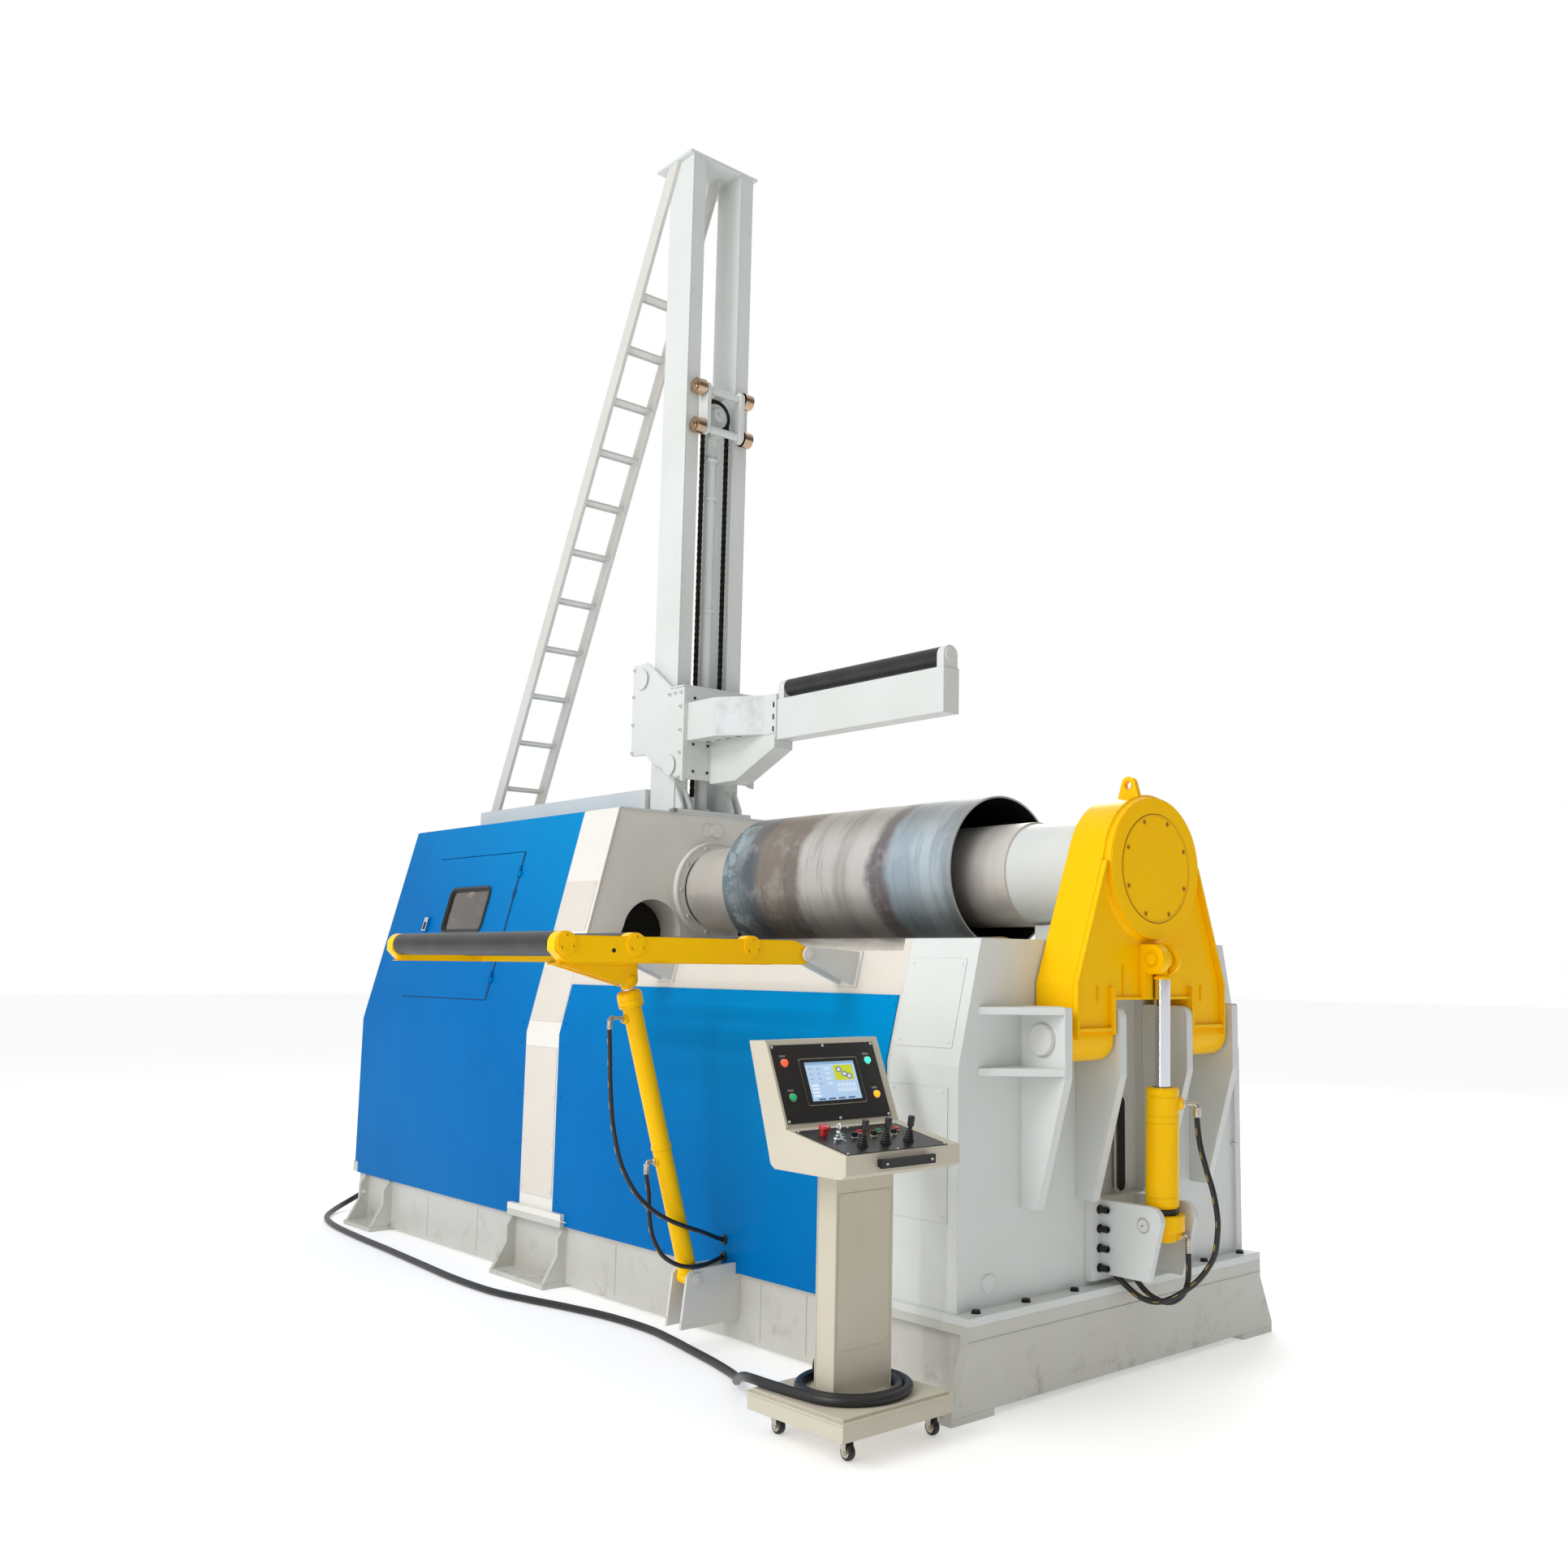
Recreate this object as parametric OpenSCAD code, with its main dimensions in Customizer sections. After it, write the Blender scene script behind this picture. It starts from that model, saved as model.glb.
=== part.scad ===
// Four-roll plate bending machine: two end frames on a steel base, a pinch roll with a drop end
// that tilts away, a side support table, an overhead support on a lift tower and a control desk.
// X runs along the rolls towards the drop end, the front faces -Y, and Z is up from the floor.
// The origin lies at floor level, midway between the four corner anchor holes, under the roll axis.

/* [Base] */
// Length of the base from the origin to its left end
base_left = 2640; // [2600:10:2720]
// Length of the base from the origin to the outer face of the right end plate
base_right = 2500; // [2495:5:2540]
// Half width over the base beams
beam_face = 860; // [840:5:870]
// Width of each base beam
beam_w = 180; // [140:10:260]
// Underside of the base beams above the floor
beam_z0 = 15; // [5:1:22]
// Top of the base beams
deck_z = 281; // [250:1:300]
// Thickness of each of the two flange plates under a frame
flange_t = 30.5; // [20:0.5:36]
// Half width over the feet
foot_half_w = 982; // [970:2:1010]
// Thickness of the foot plates
foot_t = 25; // [16:1:30]
// Distance of the corner anchor holes from the origin along X
anchor_x = 2450; // [2440:2:2460]
// Radius of the anchor holes
anchor_r = 17; // [10:0.5:20]

/* [Body] */
// Half width of the frames and the housing below the crease
body_half_w = 880; // [872:1:885]
// Height of the crease where the sides start to lean in
crease_z = 1194; // [1150:2:1220]
// Half width lost for each millimetre above the crease
lean = 0.25; // [0.22:0.005:0.26]
// Left end of the drive housing, distance from the origin
housing_left = 2675; // [2650:5:2690]
// Left face of the drive frame, distance from the origin
drive_left = 669; // [640:1:690]
// Right face of the drive frame, distance from the origin
drive_right = 337; // [320:1:345]
// Top of the drive frame and the housing
body_top = 2347; // [2320:1:2380]
// Inner face of the drop-end frame
drop_in = 2060; // [2050:5:2070]
// Outer face of the drop-end frame
drop_out = 2424; // [2410:2:2430]
// Top of the drop-end frame
drop_top = 1653; // [1630:1:1660]
// Top edge of the side cladding
clad_top = 1607; // [1602:1:1620]
// Thickness of the side cladding
clad_t = 30; // [10:1:60]
// Top edge of the coloured side panels
panel_top = 1438; // [1380:2:1450]
// Thickness of the side panels
panel_t = 6; // [3:1:10]

/* [Rolls] */
// Height of the top roll axis
top_z = 1940; // [1930:1:1950]
// Radius of the top roll
top_r = 222; // [216:1:228]
// Radius of the roll neck inside the ring on the drive frame
roll_neck_r = 203; // [190:1:205]
// Radius of the painted end of the top roll
collar_r = 213; // [205:1:216]
// Radius of the bottom roll
bottom_r = 210; // [190:1:212]
// Height of the bottom roll axis
bottom_z = 1412; // [1405:1:1416]
// Radius of the side rolls
side_r = 165; // [150:1:168]
// Distance of the side roll axes from the middle plane
side_y = 450; // [440:1:460]
// Height of the side roll axes
side_z = 1500; // [1490:1:1510]
// Radius of the journals of the bottom and side rolls
neck_r = 110; // [90:1:120]
// Radius of the drive journal of the top roll
journal_r = 120; // [100:1:130]
// Running gap round the journals
journal_gap = 0.5; // [0.3:0.1:1]
// Outer radius of the rolled shell
shell_r = 334; // [320:1:345]
// Plate thickness of the rolled shell
shell_t = 8; // [6:1:20]
// Length of the rolled shell
shell_len = 1600; // [1200:10:1700]

/* [Drop end] */
// Distance of the yoke pivot from the origin along X
pivot_x = 2530; // [2528:1:2534]
// Height of the yoke pivot
pivot_z = 1284; // [1280:1:1290]
// Radius of the yoke pivot pins
pivot_r = 45; // [35:1:55]
// Radius of the yoke hubs round the pins
hub_r = 85; // [75:1:88]
// Half width over the yoke legs
yoke_half_w = 472; // [466:1:476]
// Inner face of the yoke legs from the middle plane
yoke_leg_in = 242; // [240:1:260]
// Thickness of the yoke
yoke_t = 180; // [150:5:184]
// Radius of the yoke head
head_r = 285; // [270:1:290]
// Lower edge of the web between the legs
web_z = 1428; // [1415:1:1440]
// Clearance between the frame face and the yoke
yoke_gap = 6; // [5:1:10]
// Distance of the lower pin of the tilt cylinder from the origin along X
tilt_x = 2655; // [2650:1:2660]
// Height of the lower pin of the tilt cylinder
tilt_z = 588; // [584:1:592]
// Distance of the upper pin of the tilt cylinder from the origin along X
eye_x = 2668; // [2666:1:2674]
// Height of the upper pin of the tilt cylinder
eye_z = 1584; // [1580:1:1588]
// Radius of the tilt cylinder barrel
tilt_barrel_r = 64; // [55:1:66]
// Length of the tilt cylinder from the lower pin to the end of its barrel
tilt_len = 508; // [490:2:515]
// Radius of the tilt cylinder rod
tilt_rod_r = 31; // [26:1:32]

/* [Side support table] */
// Distance of the table pivot in front of the middle plane
arm_y = 1035; // [1030:1:1040]
// Height of the table pivot
arm_z = 1588; // [1584:1:1592]
// Distance of the outer end of the beams in front of the middle plane
arm_end = 2124; // [2122:2:2180]
// Left face of the left beam
arm_left = 440; // [400:5:460]
// Right face of the right beam
arm_right = 1750; // [1720:5:1780]
// Width of the table beams
arm_w = 50; // [40:1:52]
// Radius of the support rollers
roller_r = 42; // [35:1:44]
// Middle of the table cylinder along X
lift_x = 1095; // [1080:5:1110]
// Distance of the lower pin of the table cylinder in front of the middle plane
lift_y = 1081; // [1078:1:1084]
// Height of the lower pin of the table cylinder
lift_z = 290; // [286:1:294]
// Distance of the upper pin of the table cylinder in front of the middle plane
lug_y = 1425; // [1420:1:1430]
// Height of the upper pin of the table cylinder
lug_z = 1481; // [1478:1:1484]
// Radius of the table cylinder barrel
lift_barrel_r = 38; // [30:1:40]
// Radius of the table cylinder rod
lift_rod_r = 20; // [15:1:24]

/* [Overhead support] */
// Top of the tower columns
tower_top = 6150; // [6140:10:6260]
// Front face of the tower columns, distance from the origin
column_front = 402; // [400:1:405]
// Depth of the tower columns along X
column_d = 230; // [200:5:234]
// Inner face of the columns from the middle plane
column_in = 125; // [120:1:128]
// Outer face of the columns from the middle plane
column_out = 210; // [200:1:210]
// Radius of the lift cylinder tube
tube_r = 36; // [32:1:40]
// Radius of the lift rod
lift_ram_r = 26; // [20:1:28]
// Top of the lift cylinder tube
tube_top = 4390; // [4300:10:4400]
// Height of the chain sprocket axis
sprocket_z = 4640; // [4636:1:4644]
// Pitch radius of the chain sprocket
sprocket_r = 82; // [78:1:84]
// Thickness of the lifting chain
chain_t = 24; // [16:1:26]
// Top of the overhead arm
beam_top = 2912; // [2900:2:2930]
// Height of the overhead arm
beam_h = 212; // [180:2:216]
// Right end of the overhead arm
beam_end = 1495; // [1480:5:1600]
// Thickness of the two brackets that carry the roller on the arm
top_bracket_t = 45; // [40:1:60]
// Radius of the roller on the overhead arm
top_roller_r = 45; // [38:1:50]

/* [Control desk] */
// Middle of the desk along X
desk_x = 2342; // [2330:2:2350]
// Distance of the middle of the desk in front of the middle plane
desk_y = 1298; // [1294:2:1310]
// Width and depth of the desk base
desk_base = 484; // [470:2:500]
// Width of the desk head
head_w = 508; // [460:4:540]
// Depth of the desk post along X
post_d = 93; // [80:1:110]
// Width of the desk post along Y
post_w = 250; // [200:5:250]

/* [Hidden] */
$fn = 64;

white = "#e4e6e2";
cream = "#e3ded0";
blue = "#0070b8";
yellow = "#f5bd00";
steel = "#a3a5a8";
chrome = "#c9cbce";
dark = "#2b2b2e";

frame_z0 = deck_z + 2 * flange_t;
anchor_y = foot_half_w - 52;
foot_in = beam_face - 92;
gusset_out = max(foot_half_w - 75, beam_face + 30);
drive_flange = body_half_w + 27;
drop_flange = body_half_w + 20;
slope_angle = atan(lean);
door_left = -2226;
door_right = -1200;
door_z0 = 1341;
door_z1 = 2153;
door_t = 28;
door_gap = 5;
door_proud = 2;
window_left = -1952;
window_right = -1482;
window_z0 = 1715;
window_z1 = 1960;
window_r = 42;
hinge_r = 8;
hinge_out = 9;
pin_gap = 0.3;
step_x = 2020;
slot_r = side_r + 10;
slot_depth = 180;
slot_up = [366, 1704];
ring_right = drive_right - 60;
ring_r = 262;
shoulder_x = -238;
yoke_x0 = drop_out + yoke_gap;
yoke_x1 = yoke_x0 + yoke_t;
boss_r = head_r - 4;
boss_t = 28;
cheek_t = 40;
cheek_gap = 10;
inner_corner = 43;
cheek_in = yoke_leg_in - cheek_gap - cheek_t;
hub_end = yoke_half_w + 28;
cheek_out = hub_end + 10;
ear_in = 25;
ear_front_t = 45;
ear_rear_t = 20;
ear_r = 58;
ear_step = 28;
pin_proud = 4;
tilt_eye_r = 37;
eye_half = 20;
tilt_span = norm([eye_x - tilt_x, eye_z - tilt_z]);
tilt_lean = atan2(eye_x - tilt_x, eye_z - tilt_z);
tilt_cheek_in = 92;
tilt_pin_r = 25;
lift_span = norm([lug_y - lift_y, lug_z - lift_z]);
lift_lean = atan2(lug_y - lift_y, lug_z - lift_z);
lift_cheek_in = lift_barrel_r + 5;
lift_pin_r = 16;
table_bar_h = 92;
table_bar_z0 = 1548;
table_pin_r = 16;
roller_z = 1612;
roller_shaft_r = 14;
roller_ys = [2082, 1808, 1300];
column_back = column_front + column_d;
column_z0 = body_top + 25;
chain_y = sprocket_r;
chain_x = -420;
ram_x = -455;
lift_foot_z = column_z0;
guide_r = 45;
guide_x = -(column_front - guide_r - 5);
guide_zs = [4755, 4528];
carriage_in = column_out + 6;
carriage_out = 240;
front_plate_x = -290;
ladder_slope = 0.493;
rung_pitch = 282;
rung_count = 11;
skirt_z0 = 85;
skirt_z1 = 140;
desk_z = 152;
post_z1 = 876;
coil_in = 141;
coil_out = 205;
cable_r = 16;
hose_r = 11;
table_hose_r = 9;
tube_sides = 8;

// Half width of the leaning body at a height
function half_w(z) = body_half_w - max(0, z - crease_z) * lean;
// Distance up the leaning face from the crease
function up_face(z) = (z - crease_z) / cos(slope_angle);
function unit(v) = v / norm(v);

// Outline of the body across X, from one height to another
module body_outline(z0, z1, inset = 0) {
    polygon([
        [-half_w(z0) + inset, z0], [half_w(z0) - inset, z0], [half_w(crease_z) - inset, crease_z],
        [half_w(z1) - inset, z1], [-half_w(z1) + inset, z1], [-half_w(crease_z) + inset, crease_z]
    ]);
}

// Plate outlined in Y and Z, from x0 to x1
module yz_plate(x0, x1) {
    translate([x0, 0, 0]) rotate([90, 0, 90]) linear_extrude(x1 - x0) children();
}

// Plate outlined in X and Z, from y0 to y1
module xz_plate(y0, y1) {
    translate([0, y1, 0]) rotate([90, 0, 0]) linear_extrude(y1 - y0) children();
}

// Plate outlined in X and Y, from z0 to z1
module xy_plate(z0, z1) {
    translate([0, 0, z0]) linear_extrude(z1 - z0) children();
}

module block(low, high) {
    translate(low) cube(high - low);
}

// Round bar along X, Y or between two points
module rod_x(x0, x1, y, z, r) {
    translate([x0, y, z]) rotate([0, 90, 0]) cylinder(r = r, h = x1 - x0);
}

module rod_y(y0, y1, x, z, r) {
    translate([x, y0, z]) rotate([-90, 0, 0]) cylinder(r = r, h = y1 - y0);
}

module bar(a, b, r) {
    d = b - a;
    translate(a) rotate([0, acos(d.z / norm(d)), atan2(d.y, d.x)]) cylinder(r = r, h = norm(d));
}

module both_sides() {
    children();
    mirror([0, 1, 0]) children();
}

module rounded(w, h, r) {
    for (x = [r, w - r], y = [r, h - r]) translate([x, y]) circle(r);
    translate([r, 0]) square([w - 2 * r, h]);
    translate([0, r]) square([w, h - 2 * r]);
}

// Round-ended slot between two points of a plane; its sides lie just inside the ends' tangents
module slot_2d(a, b, r) {
    d = b - a;
    side = r - max(1, 0.02 * r);
    translate(a) circle(r);
    translate(b) circle(r);
    translate(a) rotate(atan2(d.y, d.x)) translate([0, -side]) square([norm(d), 2 * side]);
}

// Local frame on the leaning front face: X along the machine, Y inwards, Z up the face
module on_front_face() {
    translate([0, -body_half_w, crease_z]) rotate([-slope_angle, 0, 0]) children();
}

// Flexible tube swept along its points, one ring at each
module swept_tube(points, r) {
    last = len(points) - 1;
    rings = [for (i = [0:last])
        let (t = unit(points[min(i + 1, last)] - points[max(i - 1, 0)]),
             side = unit(cross(t, abs(t.z) > 0.9 ? [1, 0, 0] : [0, 0, 1])),
             up = cross(side, t))
        for (k = [0:tube_sides - 1])
            let (a = 360 * k / tube_sides) points[i] + r * (cos(a) * side + sin(a) * up)];
    walls = [for (i = [0:last - 1], k = [0:tube_sides - 1])
        let (n = (k + 1) % tube_sides, lo = i * tube_sides, hi = lo + tube_sides)
        [lo + k, hi + k, hi + n, lo + n]];
    first_cap = [[for (k = [0:tube_sides - 1]) k]];
    last_cap = [[for (k = [tube_sides - 1:-1:0]) last * tube_sides + k]];
    polyhedron(rings, concat(walls, first_cap, last_cap), convexity = 10);
}

// ---- Base ----

module gusset_outline() {
    polygon([
        [beam_face - 1, foot_t - 1], [foot_half_w - 6, foot_t - 1], [gusset_out, 147],
        [gusset_out, 228], [beam_face + 16, deck_z - 6], [beam_face - 1, deck_z - 6]
    ]);
}

module foot(x0, x1, gusset_x) {
    block([x0, beam_face - beam_w, 0], [x1, foot_half_w, foot_t]);
    for (x = gusset_x) yz_plate(x, x + 25) gusset_outline();
}

module base_beam() {
    difference() {
        union() {
            block([-base_left, beam_face - beam_w, beam_z0], [base_right - 40, beam_face, deck_z]);
            foot(-2550, -2190, [-2540, -2215]);
            foot(-755, -234, [-755, -259]);
            block([base_right - 102, foot_in, 0], [base_right, foot_half_w, foot_t]);
        }
        for (x = [-anchor_x, anchor_x]) {
            translate([x, anchor_y, -1]) cylinder(r = anchor_r, h = foot_t + 2);
        }
        xy_plate(-1, foot_t + 1) slot_2d([-650, foot_half_w - 24], [-614, foot_half_w - 24], 9);
        rod_x(-2541, -2514, beam_face + 24, 180, 14);
    }
}

module base_front_beam() {
    color(white) mirror([0, 1, 0]) base_beam();
}

module base_rear_beam() {
    color(white) base_beam();
}

module base_deck() {
    inner = beam_face - beam_w;
    color(white) {
        block([-base_left, -inner, deck_z - 30], [base_right - 40, inner, deck_z]);
        block([-base_left, -inner, beam_z0 + 25], [-base_left + 30, inner, deck_z - 29]);
        for (x = [-900, -150, 900, 1900]) {
            block([x, -inner, beam_z0 + 85], [x + 60, inner, deck_z - 29]);
        }
        yz_plate(base_right - 40, base_right) polygon([
            [-foot_half_w, foot_t], [foot_half_w, foot_t], [foot_half_w, foot_t + 20],
            [drop_flange, deck_z - 40], [drop_flange, deck_z], [-drop_flange, deck_z],
            [-drop_flange, deck_z - 40], [-foot_half_w, foot_t + 20]
        ]);
        block([-741, -drive_flange, deck_z], [-222, drive_flange, deck_z + flange_t]);
        block([drop_in, -drop_flange, deck_z], [base_right, drop_flange, deck_z + flange_t]);
        block([-housing_left - 40, -body_half_w + 8, deck_z],
              [-base_left + 4, body_half_w - 8, frame_z0]);
        rod_x(-base_left - 60, -base_left + 1, -600, 160, 30);
    }
}

// ---- Frames, housing and covers ----

module roll_bores(x_in, x_out, dir) {
    blind = x_in + dir * slot_depth;
    lo = min(x_in - dir, blind);
    hi = max(x_in - dir, blind);
    for (s = [-1, 1]) {
        yz_plate(lo, hi) slot_2d([s * slot_up.x, slot_up.y], [s * side_y, side_z], slot_r);
        rod_x(min(x_in, x_out), max(x_in, x_out), s * side_y, side_z, neck_r + journal_gap);
    }
    yz_plate(lo, hi) translate([0, bottom_z]) circle(bottom_r + 6);
    rod_x(min(x_in, x_out), max(x_in, x_out), 0, bottom_z, neck_r + journal_gap);
}

module drive_frame() {
    color(white) difference() {
        union() {
            yz_plate(-drive_left, -drive_right) body_outline(frame_z0, body_top);
            block([-741, -drive_flange, deck_z + flange_t], [-222, drive_flange, frame_z0]);
            rod_x(-drive_right - 1, -drive_right + 8, 31, 2267, 38);
        }
        roll_bores(-drive_right, -drive_left + 60, -1);
        rod_x(-600, -drive_right + 1, 0, top_z, collar_r + 5);
        rod_x(-drive_left + 5, -599, 0, top_z, journal_r + journal_gap);
    }
}

// Thickness of the wide front part of the ring
ring_lip = 28;

module roll_ring() {
    color(white) difference() {
        union() {
            rod_x(-drive_right, -ring_right - ring_lip + 1, 0, top_z, ring_r - 26);
            rod_x(-ring_right - ring_lip, -ring_right, 0, top_z, ring_r);
        }
        rod_x(-drive_right - 1, -ring_right + 1, 0, top_z, roll_neck_r + 3);
    }
}

module drive_housing() {
    color(blue) difference() {
        union() {
            yz_plate(-housing_left, -drive_left) body_outline(deck_z, body_top);
            on_front_face() for (z = [door_z0 + 90, door_z1 - 140]) door_knuckle(up_face(z), 1);
        }
        block([-housing_left - 1, -body_half_w - 1, deck_z - 1],
              [-base_left + 4, body_half_w + 1, frame_z0]);
        block([-742, -body_half_w - 1, deck_z - 1], [-drive_left + 1, body_half_w + 1, frame_z0]);
        on_front_face() {
            block([door_left - door_gap, -1, up_face(door_z0) - door_gap],
                  [door_right + 1, door_t + 4, up_face(door_z1) + door_gap]);
            block([window_left - 60, door_t, up_face(window_z0) - 60],
                  [window_right + 60, door_t + 150, up_face(window_z1) + 60]);
        }
    }
}

// Half of a door hinge: side 1 stands on the housing, side -1 on the door above it
module door_knuckle(z, side) {
    knuckle_z = side > 0 ? z : z + 30.3;
    translate([door_right, -hinge_out, knuckle_z]) cylinder(r = hinge_r, h = 30);
    block([door_right + (side > 0 ? 0 : -24), -hinge_out - 2, knuckle_z],
          [door_right + (side > 0 ? 24 : 0), side > 0 ? 1 : -door_proud + 1, knuckle_z + 30]);
}

module housing_door() {
    color(blue) on_front_face() difference() {
        union() {
            block([door_left, -door_proud, up_face(door_z0)],
                  [door_right - door_gap, door_t - door_proud, up_face(door_z1)]);
            for (z = [door_z0 + 90, door_z1 - 140]) door_knuckle(up_face(z), -1);
            translate([-2190, -16, up_face(1717)]) cube([50, 17, 86]);
        }
        translate([window_left, door_t, up_face(window_z0)]) rotate([90, 0, 0])
            linear_extrude(door_t + 10)
            rounded(window_right - window_left, up_face(window_z1) - up_face(window_z0), window_r);
    }
}

module door_window() {
    color("#6f6558") on_front_face()
        translate([window_left + pin_gap, 10, up_face(window_z0) + pin_gap]) rotate([90, 0, 0])
        linear_extrude(6)
        rounded(window_right - window_left - 2 * pin_gap,
                up_face(window_z1) - up_face(window_z0) - 2 * pin_gap, window_r - pin_gap);
}

module drop_end_frame() {
    color(white) difference() {
        union() {
            yz_plate(drop_in, drop_out) body_outline(frame_z0, drop_top);
            block([drop_in, -drop_flange, deck_z + flange_t],
                  [base_right, drop_flange, frame_z0]);
            rod_x(drop_out - 1, drop_out + 8, -724, 423, 33);
            block([drop_in, -60, drop_top - 1], [drop_in + 120, 60, top_z - collar_r - 6]);
        }
        roll_bores(drop_in, drop_out - 90, 1);
        block([drop_out - 40, -cheek_in, 660], [drop_out + 1, cheek_in, 1420]);
        block([drop_out - 120, 34, 675], [drop_out - 39, 96, 1047]);
    }
}

module side_cladding() {
    color(white) both_sides() difference() {
        union() {
            yz_plate(-drive_right, step_x) side_wall(frame_z0, clad_top, clad_t);
            block([-222, -body_half_w, deck_z], [drop_in, -body_half_w + clad_t, frame_z0 + 1]);
            yz_plate(step_x - 1, drop_in) side_wall(frame_z0 - 1, drop_top, clad_t);
            yz_plate(-drive_right, step_x) side_lip();
        }
        for (z = [407, 339]) rod_y(-body_half_w - 1, -body_half_w + clad_t + 1, 1070, z, 15);
    }
}

// Front wall section that follows the leaning side, straight below the crease
module side_wall(z0, z1, t) {
    bend = z0 < crease_z && z1 > crease_z;
    polygon(concat(
        [[-half_w(z0), z0], [-half_w(z0) + t, z0]], bend ? [[-body_half_w + t, crease_z]] : [],
        [[-half_w(z1) + t, z1], [-half_w(z1), z1]], bend ? [[-body_half_w, crease_z]] : []
    ));
}

module side_lip() {
    polygon([
        [-half_w(clad_top) + 5, clad_top - 20], [-half_w(clad_top) + 90, clad_top - 20],
        [-half_w(clad_top) + 90, clad_top], [-half_w(clad_top) + 5, clad_top]
    ]);
}

module side_panels() {
    color(blue) both_sides() difference() {
        yz_plate(-drive_right + 1, drop_in - 12) panel_outline();
        block([-drive_right, -body_half_w - panel_t - 1, deck_z - 1],
              [-221, -body_half_w + 1, frame_z0 + 1]);
        for (z = [407, 339]) {
            rod_y(-body_half_w - panel_t - 1, -body_half_w + 1, 1070, z, 15);
        }
    }
}

module panel_outline() {
    polygon([
        [-body_half_w - panel_t, deck_z + 4], [-body_half_w, deck_z + 4],
        [-body_half_w, crease_z], [-half_w(panel_top), panel_top],
        [-half_w(panel_top) - panel_t, panel_top], [-body_half_w - panel_t, crease_z]
    ]);
}

module top_beam() {
    color(white) block([-2560, -232, body_top], [-652, 232, 2500]);
}

// ---- Rolls ----

module plain_roll(y, z, r) {
    gap = 8;
    rod_x(-drive_right - slot_depth + gap, drop_in + slot_depth - gap, y, z, r);
    rod_x(-drive_right - slot_depth - 60, drop_in + slot_depth + 60, y, z, neck_r);
}

module bottom_roll() {
    color(steel) plain_roll(0, bottom_z, bottom_r);
}

module side_roll_rear() {
    color(steel) plain_roll(side_y, side_z, side_r);
}

module side_roll_front() {
    color(steel) plain_roll(-side_y, side_z, side_r);
}

module top_roll() {
    color(steel) {
        rod_x(shoulder_x, 2032, 0, top_z, top_r);
        rod_x(-592, shoulder_x + 1, 0, top_z, roll_neck_r);
        rod_x(-drive_left + 10, -591, 0, top_z, journal_r);
    }
}

module roll_collar() {
    color(white) {
        rod_x(2032, drop_out, 0, top_z, collar_r);
        translate([drop_out, 0, top_z]) rotate([0, 90, 0]) cylinder(r1 = 115, r2 = 85, h = 106);
    }
}

module rolled_shell() {
    z = bottom_z + bottom_r + shell_r + pin_gap;
    color("#77736d") difference() {
        rod_x(225, 225 + shell_len, 0, z, shell_r);
        rod_x(224, 226 + shell_len, 0, z, shell_r - shell_t);
    }
}

// ---- Drop end ----

module cheek_outline(corner = 0) {
    polygon([
        [drop_out, 1402],
        for (a = [90:-22.5:0]) [2640 - corner + corner * cos(a), 1402 - corner + corner * sin(a)],
        [2640, 1147], [2504, 668], [drop_out, 668]
    ]);
}

module pivot_brackets() {
    color(white) both_sides() {
        xz_plate(-cheek_in - cheek_t, -cheek_in) cheek_outline(inner_corner);
        xz_plate(-cheek_out - cheek_t, -cheek_out) cheek_outline(1);
        for (z = [1156, 1376]) {
            xy_plate(z, z + 28) polygon([
                [drop_out, -782], [2640, -cheek_out - cheek_t + 1],
                [drop_out, -cheek_out - cheek_t + 1]
            ]);
        }
        rod_y(-cheek_out - cheek_t - 12, -cheek_in - 2, pivot_x, pivot_z, pivot_r);
        rod_y(-cheek_out - cheek_t - 12, -cheek_out - 2, pivot_x, pivot_z, 60);
    }
}

module yoke_outline() {
    d = norm([yoke_half_w, 1490 - top_z]);
    a = atan2(1490 - top_z, yoke_half_w) + acos(head_r / d);
    touch = [head_r * cos(a), top_z + head_r * sin(a)];
    translate([0, top_z]) circle(head_r, $fn = 96);
    for (s = [-1, 1]) {
        polygon([
            [0, web_z], [s * yoke_leg_in, web_z], [s * yoke_leg_in, pivot_z],
            [s * yoke_half_w, pivot_z], [s * yoke_half_w, 1490], [s * touch.x, touch.y], [0, top_z]
        ]);
    }
}

module yoke() {
    color(yellow) difference() {
        union() {
            yz_plate(yoke_x0, yoke_x1) yoke_outline();
            rod_x(yoke_x1 - 1, yoke_x1 + boss_t, 0, top_z, boss_r, $fn = 96);
            xz_plate(-lug_t / 2, lug_t / 2) lifting_lug();
            for (s = [-1, 1]) {
                y0 = s < 0 ? -hub_end : yoke_leg_in - 2;
                rod_y(y0, y0 + hub_end - yoke_leg_in + 2, pivot_x, pivot_z, hub_r);
            }
        }
        translate([yoke_x0 - 0.1, 0, top_z]) rotate([0, 90, 0])
            cylinder(r1 = 130, r2 = 97, h = 125);
        rod_y(-hub_end - 5, hub_end + 5, pivot_x, pivot_z, pivot_r + pin_gap);
        rod_y(-lug_t, lug_t, lug_x, eye_hole_z, 16);
    }
}

// Lifting lug: middle, height of its eye, thickness, and the radius of its head
lug_x = 2514;
eye_hole_z = 2280;
lug_t = 20;
lug_head_r = 35;

module lifting_lug() {
    drop = eye_hole_z - top_z - head_r + 10;
    turn = acos(lug_head_r / norm([56, drop])) - atan2(drop, 56);
    side = [lug_head_r * cos(turn), eye_hole_z + lug_head_r * sin(turn)];
    translate([lug_x, eye_hole_z]) circle(lug_head_r);
    polygon([
        [lug_x - side.x, side.y], [lug_x + side.x, side.y],
        [lug_x + 56, eye_hole_z - drop], [lug_x - 56, eye_hole_z - drop]
    ]);
}

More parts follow.
